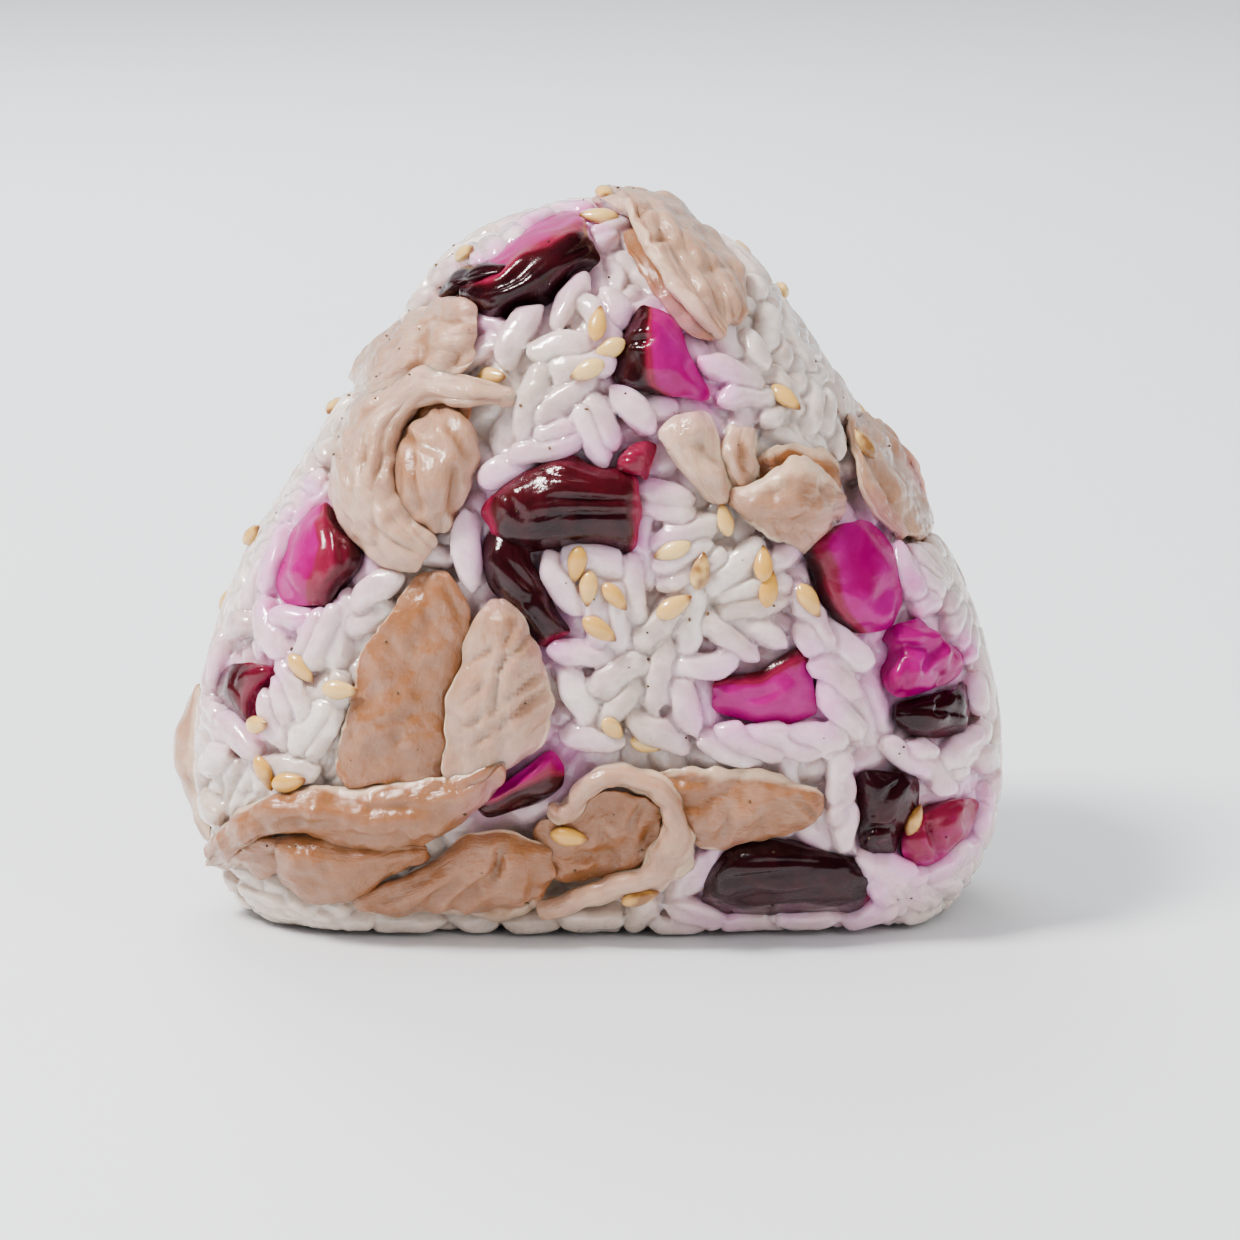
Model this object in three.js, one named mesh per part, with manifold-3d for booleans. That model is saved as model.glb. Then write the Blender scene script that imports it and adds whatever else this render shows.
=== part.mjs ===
// A hand-pressed onigiri: a puffy three-cornered ball of cooked rice that stands on one flat side.
// Thin slices of boiled pork and chunks of purple pickled eggplant lie in its surface, with
// sesame seeds stuck between the grains.
//
// Units are millimetres. +Z is up, the broad front looks along -Y, and the origin is the middle
// of the flat base. The rice is one solid: a smooth core with the grains and seeds that show
// fused on. Every slice and every chunk is a solid of its own, laid on the bare core.

import * as THREE from "three";
import { mergeVertices } from "three/addons/utils/BufferGeometryUtils.js";
import Module from "manifold-3d";

const wasm = await Module();
wasm.setup();

// ---- Driving dimensions ----------------------------------------------------------------------

const MIDDLE_HEIGHT = 37.5; // of the point that the body is round about
const SIDE_REACH = 26.6; // from the middle square out to each slanting side
const BASE_REACH = 39.6; // from the middle down to the underside before the base is pressed flat
const SIDE_LEAN = 0.59; // radians that a slanting side's outward normal points above level
const HALF_DEPTH = 21.5; // from the middle out to the broad front and back faces
const CORNER_POWER = 1.65; // lower makes the three corners rounder
const PILLOW_POWER = 2.8; // lower makes the broad faces more domed

const CORE_DETAIL = 5; // subdivisions of the icosahedron that becomes the core
const GAP = 0.3; // clear space between pieces that lie against each other
const FLOOR_GAP = 0.5; // the lowest that a slice or a chunk reaches above the base

const SLICE_THICKNESS = 1.8; // of a pork slice, folds apart
const EDGE_THINNING = 0.35; // share of its thickness that a slice loses at its rim
const WEDGE_DEPTH = 2.5; // that a chunk's sunken side lies below the surface
const WEDGE_DOMING = 2.6; // power that rounds a chunk's outer face from edge to edge
const NARROW = 5; // width under which a layer has two facets from edge to edge, not three
const NET_COLUMNS = 5; // control points from edge to edge of a surface between edge lines

const EYE_TARGET = 36; // height that the eye in front looks at, on the middle line
const EYE_ELEVATION = 13.2; // degrees that it looks down
const EYE_DISTANCE = 600;
const SIGHT_RANGE = [540, 640]; // how far along its lines of sight the body is looked for
const SIGHT_STEP = 0.4;

const GRAIN_LENGTH = 7.4;
const GRAIN_WIDTH = 3.2;
const KERNEL_FLATNESS = 0.9; // height over width of a grain or seed
const KERNEL_SIZES = [0.88, 1.12]; // shortest and longest, over the usual length
const GRAIN_SPACING = 6.7; // between the middles of neighbouring grains
const GRAIN_LIFT = 0.5; // of a grain's middle above the core
const GRAIN_TILT = 0.25; // radians, the most that a grain leans out of the surface
const SEED_LENGTH = 3.7;
const SEED_WIDTH = 1.9;
const SEED_SPACING = 7.5;
const SEED_LIFT = 1.75; // of a seed's middle above the core
const SEED_COUNT = 32;

// ---- Solids and geometries -------------------------------------------------------------------

/** The closed mesh of a three.js geometry as a solid. */
function toSolid(geometry) {
  const bare = geometry.clone();
  bare.deleteAttribute("normal");
  bare.deleteAttribute("uv");
  const merged = mergeVertices(bare, 1e-4);
  return new wasm.Manifold(
    new wasm.Mesh({
      numProp: 3,
      vertProperties: new Float32Array(merged.attributes.position.array),
      triVerts: new Uint32Array(merged.index.array),
    }),
  );
}

/** A solid's surface as a three.js geometry. */
function toGeometry(solid) {
  const mesh = solid.getMesh();
  const geometry = new THREE.BufferGeometry();
  geometry.setAttribute("position", new THREE.BufferAttribute(mesh.vertProperties, 3));
  geometry.setIndex(new THREE.BufferAttribute(mesh.triVerts, 1));
  geometry.computeVertexNormals();
  return geometry;
}

/** The largest of the separate bodies in a solid. */
function largestBody(solid) {
  const bodies = solid.decompose();
  return bodies.reduce((best, body) => (body.volume() > best.volume() ? body : best));
}

/** Moves every vertex of a geometry to the point that place(vertex) returns. */
function reshape(geometry, place) {
  const position = geometry.attributes.position;
  const vertex = new THREE.Vector3();
  for (let i = 0; i < position.count; i++) {
    const moved = place(vertex.fromBufferAttribute(position, i));
    position.setXYZ(i, moved.x, moved.y, moved.z);
  }
  return geometry;
}

/** True if the boxes round two solids meet. */
function boxesMeet(a, b) {
  const [p, q] = [a.boundingBox(), b.boundingBox()];
  return [0, 1, 2].every((k) => p.min[k] < q.max[k] && q.min[k] < p.max[k]);
}

/** Everything below a height, as one wide block. */
function blockBelow(height) {
  const size = 200;
  const block = new THREE.BoxGeometry(size, size, size);
  block.translate(0, 0, height - size / 2);
  return toSolid(block);
}

/** A seeded draw of numbers from 0 to 1. */
function seededDraw(seed) {
  let state = seed >>> 0;
  return () => {
    state = (state + 0x6d2b79f5) >>> 0;
    let t = Math.imul(state ^ (state >>> 15), 1 | state);
    t = (t + Math.imul(t ^ (t >>> 7), 61 | t)) ^ t;
    return ((t ^ (t >>> 14)) >>> 0) / 4294967296;
  };
}

// ---- The body's smooth surface ---------------------------------------------------------------

const MIDDLE = new THREE.Vector3(0, 0, MIDDLE_HEIGHT);

/** How far out a point measured from the middle is: 1 on the surface, and 2 twice as far out.
 * It is the power mean of the reach towards the two slanting sides and the underside, which
 * rounds the triangle, joined by a second power mean with the reach towards front and back. */
function reachOf(offset, grow = 0) {
  const lean = [Math.cos(SIDE_LEAN), Math.sin(SIDE_LEAN)];
  const triangle = [
    (lean[0] * offset.x + lean[1] * offset.z) / (SIDE_REACH + grow),
    (-lean[0] * offset.x + lean[1] * offset.z) / (SIDE_REACH + grow),
    -offset.z / (BASE_REACH + grow),
  ];
  const round = triangle.reduce((sum, t) => sum + Math.max(0, t) ** CORNER_POWER, 0);
  const depth = Math.abs(offset.y) / (HALF_DEPTH + grow);
  return (round ** (PILLOW_POWER / CORNER_POWER) + depth ** PILLOW_POWER) ** (1 / PILLOW_POWER);
}

/** The point of the surface on the line from the middle through a rough point. */
function dropOn(point, grow = 0) {
  const offset = point.clone().sub(MIDDLE);
  return offset.divideScalar(reachOf(offset, grow)).add(MIDDLE);
}

/** The outward normal of the surface at a point, from the reach's slope. */
function normalAt(point) {
  const step = 0.01;
  const offset = point.clone().sub(MIDDLE);
  const slope = ["x", "y", "z"].map((axis) => {
    const ahead = offset.clone();
    const behind = offset.clone();
    ahead[axis] += step;
    behind[axis] -= step;
    return reachOf(ahead) - reachOf(behind);
  });
  return new THREE.Vector3(...slope).normalize();
}

/** The surface's own directions at a point: across to the right, up the slope and outwards. */
function frameAt(point) {
  const out = normalAt(point);
  const up = new THREE.Vector3(0, 0, 1).addScaledVector(out, -out.z).normalize();
  const right = up.clone().cross(out);
  return { right, up, out };
}

/** The core as a solid, larger all round by grow. */
function coreSolid(grow, detail) {
  const ball = new THREE.IcosahedronGeometry(1, detail);
  return toSolid(reshape(ball, (vertex) => dropOn(vertex.clone().add(MIDDLE), grow)));
}

// ---- Places as they are seen from the front ----------------------------------------------------

const EYE_DOWN = THREE.MathUtils.degToRad(EYE_ELEVATION);
const EYE_UP = new THREE.Vector3(0, Math.sin(EYE_DOWN), Math.cos(EYE_DOWN));
const EYE_FORWARD = new THREE.Vector3(0, Math.cos(EYE_DOWN), -Math.sin(EYE_DOWN));
const EYE = new THREE.Vector3(0, 0, EYE_TARGET).addScaledVector(EYE_FORWARD, -EYE_DISTANCE);

/** How high a point is over the surface, measured on the line from the middle. */
function levelOf(point) {
  const offset = point.clone().sub(MIDDLE);
  return (1 - 1 / reachOf(offset)) * offset.length();
}

/** The point that is seen across and up from the middle, in mm, where its line of sight first
 * comes down to a level over the surface, or nearest to it. behind takes it on along the line. */
function seenPoint(across, up, level, behind = 0) {
  const line = EYE_FORWARD.clone().multiplyScalar(EYE_DISTANCE).addScaledVector(EYE_UP, up);
  line.x += across;
  line.normalize();
  const [first, last] = SIGHT_RANGE;
  let best = { far: first, level: Infinity };
  for (let far = first; far <= last && best.level > level; far += SIGHT_STEP) {
    const here = levelOf(EYE.clone().addScaledVector(line, far));
    if (here < best.level) best = { far, level: here };
  }
  return EYE.clone().addScaledVector(line, best.far + behind);
}

/** The shares of four neighbouring points in the uniform Catmull-Rom curve through them. */
function splineShares(s) {
  return [
    (-s + 2 * s * s - s ** 3) / 2,
    (2 - 5 * s * s + 3 * s ** 3) / 2,
    (s + 4 * s * s - 3 * s ** 3) / 2,
    (-s * s + s ** 3) / 2,
  ];
}

/** A point of the smooth curve through a list of points, a little past its ends too. */
function splinePoint(points, t) {
  const place = t * (points.length - 1);
  const k = Math.min(Math.max(Math.floor(place), 0), points.length - 2);
  const at = (n) => {
    if (n < 0) return points[0].clone().multiplyScalar(2).sub(points[1]);
    if (n < points.length) return points[n];
    return points[n - 1].clone().multiplyScalar(2).sub(points[n - 2]);
  };
  const shares = splineShares(place - k);
  return shares.reduce(
    (sum, share, n) => sum.addScaledVector(at(k + n - 1), share),
    new THREE.Vector3(),
  );
}

/** A surface between two edge lines, given as they are seen from the front, in mm across and up.
 * near, middle and far are its levels over the body at its edges and its middle line, as one
 * value or as stations along it, and behind is how far its far edge goes back out of sight.
 * Returns the surface as a function of u, 0 to 1 along it, and v, -1 to 1 from edge to edge. */
function surfaceBetween({ nearEdge, farEdge, near, middle, far, behind = 0 }, domed = 2) {
  const columns = [];
  for (let j = 0; j < NET_COLUMNS; j++) {
    const share = j / (NET_COLUMNS - 1);
    const v = 2 * share - 1;
    const bend = Math.abs(v) ** domed;
    columns.push(
      nearEdge.map(([x, h], i) => {
        const u = i / (nearEdge.length - 1);
        const edge = v < 0 ? along(near, u) : along(far, u);
        return seenPoint(
          THREE.MathUtils.lerp(x, farEdge[i][0], share),
          THREE.MathUtils.lerp(h, farEdge[i][1], share),
          along(middle, u) * (1 - bend) + edge * bend,
          along(behind, u) * share * share,
        );
      }),
    );
  }
  return (u, v) => splinePoint(columns.map((column) => splinePoint(column, u)), (v + 1) / 2);
}

/** The length and the half width of a surface, measured through its middle. */
function sizeOf(surface) {
  const span = (count, place) => {
    const points = Array.from({ length: count + 1 }, (_, n) => place(n / count));
    return points.slice(1).reduce((sum, point, n) => sum + point.distanceTo(points[n]), 0);
  };
  return {
    length: span(8, (t) => surface(t, 0)),
    half: span(4, (t) => surface(0.5, 2 * t - 1)) / 2,
  };
}

/** A closed solid whose two sides face each other over a surface, larger all round by grow.
 * offset(point, out, side, rim) moves a point of the surface to either side, 1 or -1, with rim
 * true on the surface's border. */
function slabSolid(surface, { rows, grow, offset }) {
  const { length, half } = sizeOf(surface);
  const columns = 2 * half < NARROW ? 2 : 3;
  const overrun = grow / length;
  const widen = 1 + grow / half;
  const slab = new THREE.BoxGeometry(1, 1, 1, rows, columns, 1);
  return toSolid(
    reshape(slab, (vertex) => {
      const [s, t] = [vertex.x + 0.5, vertex.y * 2];
      const [u, v] = [(1 + 2 * overrun) * s - overrun, t * widen];
      const step = 0.02;
      const alongEdge = surface(u + step, v).sub(surface(u - step, v));
      const acrossEdge = surface(u, v + step).sub(surface(u, v - step));
      const out = alongEdge.cross(acrossEdge).normalize();
      const rim = Math.max(Math.abs(t), Math.abs(2 * s - 1)) > 0.99;
      return offset(surface(u, v), out, 2 * vertex.z, rim);
    }),
  );
}

// ---- Pork slices -----------------------------------------------------------------------------

/** A value that runs smoothly through a list of stations as t goes from 0 to 1. */
function along(stations, t) {
  if (!Array.isArray(stations)) return stations;
  const place = Math.min(Math.max(t, 0), 1) * (stations.length - 1);
  const k = Math.min(Math.floor(place), stations.length - 2);
  const s = place - k;
  return stations[k] + (stations[k + 1] - stations[k]) * s * s * (3 - 2 * s);
}

/** The middle of a ribbon's thickness, draped on the core along a spine of rough points.
 * width is its half width, near and far lift its two long edges off the core and middle its
 * middle line, all of them in mm, as one value or as stations along the spine. The near edge is
 * on the right of the spine. ruffle waves both edges up and down, waves times. */
function surfaceAlong({ spine, width, near, middle, far, ruffle = 0, waves = 2 }) {
  const curve = new THREE.CatmullRomCurve3(spine.map((p) => new THREE.Vector3(...p)));
  const length = curve.getLength();
  return (u, v) => {
    const t = Math.min(Math.max(u, 0), 1);
    const base = dropOn(curve.getPoint(t));
    const out = normalAt(base);
    const ahead = curve.getTangent(t);
    ahead.addScaledVector(out, -ahead.dot(out)).normalize();
    base.addScaledVector(ahead, (u - t) * length);
    const side = out.clone().cross(ahead);
    const foot = dropOn(base.addScaledVector(side, v * along(width, t)));
    const edge = v < 0 ? along(near, t) : along(far, t);
    const lift = along(middle, t) * (1 - v * v) + edge * v * v;
    const wave = ruffle * v * v * Math.sin(2 * Math.PI * waves * u + 2 * v);
    return foot.addScaledVector(normalAt(foot), lift + wave);
  };
}

/** One layer of a slice: an even sheet, thinner at its rim. */
function layerSolid(layer, grow) {
  const offset = (point, out, side, rim) => {
    const half = (SLICE_THICKNESS * (rim ? 1 - EDGE_THINNING : 1)) / 2 + grow;
    return point.addScaledVector(out, half * side);
  };
  const surface = layer.spine ? surfaceAlong(layer) : surfaceBetween(layer);
  const rows = layer.steps ?? (layer.spine ?? layer.nearEdge).length - 1;
  return slabSolid(surface, { rows, grow, offset });
}

/** A slice of one or more layers, as one solid. */
function sliceSolid(slice, grow = 0) {
  const [first, ...rest] = slice.layers.map((layer) => layerSolid(layer, grow));
  return rest.reduce((sum, layer) => sum.add(layer), first);
}

// ---- Pickled eggplant chunks -----------------------------------------------------------------

/** A chunk whose outer face is seen between two edge lines, with its other side sunk. */
function wedgeSolid(chunk, grow = 0) {
  const offset = (point, out, side) => {
    if (side > 0) return point.addScaledVector(out, grow);
    const foot = dropOn(point);
    return foot.addScaledVector(normalAt(foot), -WEDGE_DEPTH - grow);
  };
  const rows = chunk.nearEdge.length - 1;
  return slabSolid(surfaceBetween(chunk, WEDGE_DOMING), { rows, grow, offset });
}

/** A chunk cut from a small eggplant: a stub of a bent, tapering stem with a flat cut side.
 * at is a rough point, turn its direction in the surface (degrees from level), stand lifts its
 * axis out of the surface, and roll turns its rounded skin side from outward towards its left.
 * top is how high it stands above the core. */
function chunkSolid(chunk, grow = 0) {
  const { at, turn, length, width, thick, top } = chunk;
  const { stand = 0, roll = 0, taper = 0.25, bend = 0, cut = 0.45 } = chunk;
  const anchor = dropOn(new THREE.Vector3(...at));
  const { right, up, out } = frameAt(anchor);
  const turned = THREE.MathUtils.degToRad(turn);
  const ahead = right.multiplyScalar(Math.cos(turned)).addScaledVector(up, Math.sin(turned));
  const side = out.clone().cross(ahead);
  const basis = new THREE.Matrix4().makeBasis(ahead, side, out);
  const pose = new THREE.Euler(
    THREE.MathUtils.degToRad(-roll),
    THREE.MathUtils.degToRad(-stand),
    0,
    "YXZ",
  );

  const stub = new THREE.CylinderGeometry(1, 1, 1, 7, 3);
  stub.rotateZ(-Math.PI / 2); // its axis along +X
  reshape(stub, (vertex) => {
    const s = 2 * vertex.x; // -1 at one end and 1 at the other
    const swell = 1 - taper * Math.abs(s) ** 2.5;
    const sectionWidth = (width / 2) * swell + grow;
    const sectionDepth = (thick / 2) * swell + grow;
    const level = Math.max(vertex.z, -cut) + (cut < 1 ? (1 - cut) / 2 : 0);
    return new THREE.Vector3(
      s * (length / 2 + grow),
      vertex.y * sectionWidth + bend * s * s,
      level * sectionDepth,
    );
  });
  stub.applyMatrix4(new THREE.Matrix4().makeRotationFromEuler(pose));
  stub.computeBoundingBox();
  stub.translate(0, 0, top - (stub.boundingBox.max.z - grow));
  stub.applyMatrix4(basis);
  stub.translate(anchor.x, anchor.y, anchor.z);
  return toSolid(stub);
}

// ---- The slices, by where they lie -----------------------------------------------------------

const PORK = [
  {
    name: "pork_top",
    layers: [
      {
        nearEdge: [[2.2, 31.2], [3.6, 28.6], [5.6, 25.4], [8.4, 22], [11, 20.4]],
        farEdge: [[4.4, 32.6], [6.4, 30.4], [8.6, 27.4], [11.4, 24], [13, 21.7]],
        near: 1.1, middle: [1.5, 1.5, 1.5, 1.5, 1.4], far: [1.6, 1.6, 1.6, 1.6, 1.5],
      },
      {
        nearEdge: [[-1.3, 34.7], [2.2, 33.9], [3.6, 31.8], [4.9, 29.4], [7.2, 25.7], [9.5, 23],
          [11.5, 21]],
        farEdge: [[1.8, 35.9], [5.8, 35.2], [8.9, 33.5], [11.4, 31], [13.8, 28.3], [14.8, 25.4],
          [14.7, 22.6]],
        near: [1.8, 3.2, 3.5, 3.5, 3.2, 2.7, 2], middle: [2.4, 3.4, 3.9, 3.7, 3.1, 2.6, 2.1],
        far: [1.6, 2, 1.8, 1.6, 1.5, 1.4, 1.4], behind: [10, 9, 6, 5, 3, 1, 0],
      },
    ],
  },
  {
    name: "pork_curl",
    layers: [
      {
        nearEdge: [[-24.3, 14.6], [-22, 15], [-19, 16], [-16, 17], [-13.6, 17.4], [-12.4, 18]],
        farEdge: [[-24, 18.2], [-22.4, 20.2], [-19.2, 22.7], [-16, 24.7], [-13.6, 24.7],
          [-11.9, 23.9]],
        near: [1, 1.6, 1.8, 1.8, 1.8, 1.4], middle: [1.5, 2.7, 3.4, 3.3, 2.8, 1.7],
        far: [1, 1.2, 1.4, 1.5, 1.6, 1.3], behind: [4, 5, 5, 3, 0, 0],
      },
      {
        nearEdge: [[-17.9, 13.4], [-19.5, 11], [-19.9, 8], [-19.4, 5.4], [-17.7, 3.2]],
        farEdge: [[-12.6, 13.6], [-12.1, 11], [-11.9, 8], [-12.6, 5.2], [-13.9, 3.2]],
        near: [1.6, 1.9, 1.9, 1.8, 1.1], middle: [2, 3.8, 4.2, 3.9, 2.2],
        far: [1.1, 1.3, 1.3, 1.3, 1.1],
      },
      {
        nearEdge: [[-9.3, 16.6], [-13, 17.6], [-17, 17.9], [-21, 15.9], [-24.6, 14], [-26.2, 9.5],
          [-26.5, 5.2], [-24.9, 1.6], [-21.8, -1.5], [-18.3, -2.9]],
        farEdge: [[-9.5, 14.6], [-13.2, 14.9], [-17.2, 14.4], [-18.9, 13], [-19.7, 10.9],
          [-20, 8.2], [-19.9, 5.2], [-18.5, 3.3], [-16.8, 2], [-15.6, 0.6]],
        near: [1, 1.2, 1.4, 1.4, 0.9, 0.6, 0.6, 0.6, 0.6, 0.6],
        middle: [1.7, 2.5, 3.4, 4, 4.4, 4.6, 4.6, 4.2, 3.6, 2.3],
        far: [0.9, 1.4, 1.7, 1.8, 1.8, 1.8, 1.8, 1.6, 1.4, 1],
      },
    ],
  },
  {
    name: "pork_ruffle_right",
    layers: [
      {
        nearEdge: [[15.5, 5], [18.5, 4.6], [21.8, 4.6], [24.4, 5]],
        farEdge: [[15.6, 8.8], [18.8, 10.2], [22.2, 9.8], [24, 8.4]],
        near: [1.5, 1.5, 1.4, 1.2], middle: [1.7, 1.5, 1.4, 1.2], far: [1.5, 1.4, 1.3, 1.1],
      },
      {
        nearEdge: [[7.4, 13.2], [6.4, 11], [8.2, 8.1], [10.1, 5.6], [11.6, 4.3]],
        farEdge: [[11.4, 13.8], [12.1, 10.8], [12.3, 8.1], [13.1, 5.9], [13.4, 4.5]],
        near: [1.2, 1.4, 1.5, 1.4, 1], middle: [1.8, 3, 3, 2.6, 1.5],
        far: [1.2, 1.7, 1.8, 1.6, 1],
      },
      {
        nearEdge: [[13.2, 12.5], [12.2, 9.4], [12.8, 7.2], [13.5, 5.5]],
        farEdge: [[15.9, 12.1], [15.7, 9.4], [16, 7.2], [15.8, 5.8]],
        near: [1.1, 1.4, 1.4, 1.1], middle: [1.8, 3, 2.9, 1.7], far: [1.2, 1.5, 1.6, 1.1],
      },
      {
        nearEdge: [[13.2, 4.5], [15.6, 2.6], [18, 1.1], [20.4, 0.6], [22.7, 1.3], [25.2, 3.8]],
        farEdge: [[13.4, 5.8], [15.6, 6.2], [18.1, 7.9], [20.3, 9.2], [22.2, 7.6], [23.9, 5.2]],
        near: [1.4, 1.6, 1.6, 1.6, 1.6, 1.2], middle: [1.9, 3.9, 4.7, 4.9, 3.8, 1.8],
        far: [1.4, 3.4, 4, 4, 3.2, 1.4],
      },
    ],
  },
  {
    name: "pork_side_right",
    layers: [
      {
        nearEdge: [[24.6, 13.2], [25.4, 9.4], [26, 6.2], [27.6, 3.4], [29.6, 1.2]],
        farEdge: [[28.2, 13.4], [30.8, 9.8], [32.5, 6.4], [33.2, 3], [32.9, 0.8]],
        near: [1.3, 1.4, 1.5, 1.5, 1.2], middle: [1.7, 2.1, 2.1, 2, 1.5],
        far: [1.2, 1.4, 1.4, 1.3, 1.1], behind: [5, 5, 4, 4, 3],
      },
    ],
  },
  {
    name: "pork_leaf",
    layers: [
      {
        nearEdge: [[-18.3, -2.2], [-20.6, -6.5], [-23.4, -10.2], [-24.6, -14.5], [-25.7, -19],
          [-27.2, -23.4]],
        farEdge: [[-14.3, -2.4], [-12.7, -6.4], [-13.2, -10.6], [-14, -14.8], [-14.5, -19.2],
          [-14.8, -24]],
        near: [1.1, 1.3, 1.4, 1.5, 1.6, 1.5], middle: [1.7, 2, 2.1, 2.1, 2.1, 2],
        far: [1.2, 1.4, 1.2, 1, 1, 1],
      },
    ],
  },
  {
    name: "pork_fold_band",
    layers: [
      {
        nearEdge: [[-38.8, -31.9], [-36, -31.6], [-33.2, -32.4], [-30.6, -31.4]],
        farEdge: [[-38.4, -30.6], [-35.8, -29.6], [-33.3, -28.9], [-30.6, -28.8]],
        near: [1.2, 1.2, 1, 0.9], middle: [1.7, 2, 2, 1.6], far: [1.8, 2.1, 2.3, 1.9],
      },
      {
        nearEdge: [[-11.1, -5.2], [-12.6, -8], [-13.6, -12], [-14.9, -16], [-15.4, -20],
          [-15.6, -23.6]],
        farEdge: [[-8.8, -4.9], [-7, -7.9], [-5.2, -11.8], [-4.6, -15.5], [-5.4, -19.2],
          [-7.8, -21.6]],
        near: [1.3, 1.7, 1.9, 2.1, 2.2, 2.2], middle: [1.8, 3, 3.4, 3.4, 3.2, 3],
        far: [1.3, 1.5, 1.5, 1.5, 1.5, 1.4],
      },
      {
        nearEdge: [[-39.2, -32.3], [-36.2, -30.4], [-32.5, -28.3], [-28.5, -28.5], [-24, -29.4],
          [-19.5, -29.9], [-16, -28.9], [-12.6, -26.4], [-9.6, -23.8]],
        farEdge: [[-38.7, -29.5], [-36, -26.6], [-32.6, -24.8], [-28.6, -24.1], [-24, -24.3],
          [-19, -23.4], [-14.6, -22.7], [-11.5, -21.6], [-9, -20.2]],
        near: [1.6, 2.4, 2.8, 2.2, 1.7, 1.4, 1.4, 1.4, 1.2],
        middle: [2.7, 4, 4.4, 4.6, 4.4, 4.3, 4.1, 3.5, 2.8],
        far: [1.6, 1.7, 1.6, 1.6, 1.6, 1.7, 2.2, 2.6, 2.4],
      },
    ],
  },
  {
    name: "pork_bulge",
    layers: [
      {
        nearEdge: [[-32.3, -32], [-30.2, -34.4], [-27, -35.4], [-23.9, -34.7], [-20.6, -32.4],
          [-16.8, -31.2]],
        farEdge: [[-32, -28.8], [-29.8, -28.5], [-27, -28.5], [-23.3, -28.8], [-20.1, -29.1],
          [-16.8, -29.5]],
        near: [1.4, 1.2, 1.2, 1, 1, 0.9], middle: [2.2, 3.8, 4, 3.5, 2.5, 1.5],
        far: [1.4, 1.4, 1.2, 1.1, 1.1, 0.9],
      },
    ],
  },
  {
    name: "pork_bottom_mid",
    layers: [
      {
        nearEdge: [[-24.4, -36], [-21, -36.5], [-16.8, -36.1], [-12.6, -36.6], [-8.4, -36.5],
          [-4.4, -34.6]],
        farEdge: [[-24, -35.2], [-20.4, -33.5], [-16.1, -31.2], [-12.1, -28.3], [-7.9, -28.6],
          [-4.2, -29.6]],
        near: [1, 1, 1, 1, 1, 0.9], middle: [1.4, 2.5, 3.3, 3.5, 3.3, 2.1],
        far: [1, 1.2, 1.4, 1.4, 1.3, 1.1],
      },
    ],
  },
  {
    name: "pork_ruffle_bottom",
    layers: [
      {
        nearEdge: [[-6.5, -31.5], [-3, -33.2], [0.5, -32.9], [3.8, -32], [6, -30]],
        farEdge: [[-6, -26.6], [-2.6, -26.6], [0.6, -23.8], [3.8, -24.2], [6.8, -25.2]],
        near: [1, 1.2, 1.3, 1.5, 1.8], middle: [1.3, 1.4, 1.3, 1.3, 1.8],
        far: [1.2, 1.5, 1.8, 2, 2.2],
      },
      {
        nearEdge: [[-5.3, -26.4], [-3.8, -27.5], [-2.2, -26.6], [-1, -24.9], [0.8, -23.8],
          [3.2, -24], [5.4, -25], [6.6, -26.8], [6.3, -28.6], [5, -30], [4.2, -31.9],
          [1.6, -32.8], [-1.4, -33.9], [-4, -35.1], [-6, -35.5]],
        farEdge: [[-5, -25.3], [-3.5, -25.9], [-2.8, -25], [-1.7, -23.3], [0.8, -22.1],
          [3.5, -22.1], [6.7, -23.3], [8.8, -26], [9.6, -29.4], [8.6, -31.8], [6, -34],
          [2.2, -34.8], [-0.9, -35.6], [-3.7, -36.5], [-6, -36.6]],
        near: [1.4, 1.7, 1.7, 1.7, 1.8, 1.8, 2, 2.1, 2, 1.8, 1.8, 1.8, 1.7, 1.4, 1.2],
        middle: [2, 2.9, 2.9, 2.9, 3.1, 3.4, 3.7, 3.9, 3.9, 3.7, 3.5, 3.3, 2.9, 2.5, 1.7],
        far: [1.2, 1.3, 1.3, 1.3, 1.3, 1.4, 1.6, 1.8, 1.8, 1.6, 1.6, 1.6, 1.5, 1.3, 1],
      },
    ],
  },
  {
    name: "pork_bottom_right",
    layers: [
      {
        nearEdge: [[7.6, -25.6], [9.6, -29.3], [12.6, -29.9], [16.2, -29.2], [19.6, -28.5],
          [22.4, -27.2]],
        farEdge: [[5.2, -22.2], [9, -21.8], [12.9, -22], [16.6, -22.3], [20.1, -23.5],
          [22.8, -24.1]],
        near: [1.2, 1.3, 1.4, 1.4, 1.2, 1], middle: [1.7, 2.3, 2.5, 2.4, 1.9, 1.3],
        far: [1.1, 1.4, 1.4, 1.3, 1.1, 1],
      },
    ],
  },
  {
    name: "pork_left_edge",
    layers: [
      {
        spine: [[-38.5, 4, 20.5], [-40, 3, 13.5], [-37, 2, 6.5]],
        width: [2, 3, 2.2],
        near: 2.6,
        middle: [2.2, 3.4, 2.6],
        far: 1.4,
        steps: 4,
      },
    ],
  },
  {
    name: "pork_back_wide",
    layers: [
      {
        spine: [[17, 21, 17], [10, 22, 24], [3, 22, 31.5], [-3, 22, 38]],
        width: [3.5, 6.6, 7, 4],
        near: 1.5,
        middle: 2.1,
        far: 1.6,
        ruffle: 0.4,
      },
    ],
  },
  {
    name: "pork_back_curl",
    layers: [
      {
        spine: [[-9, 19, 62], [-14, 17, 57], [-17.5, 17, 51], [-17, 19, 46]],
        width: [2, 4, 4.2, 2.6],
        near: 1.5,
        middle: [2.2, 3.6, 3.6, 2.4],
        far: 1.6,
      },
    ],
  },
  {
    name: "pork_back_ruffle",
    layers: [
      {
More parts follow.
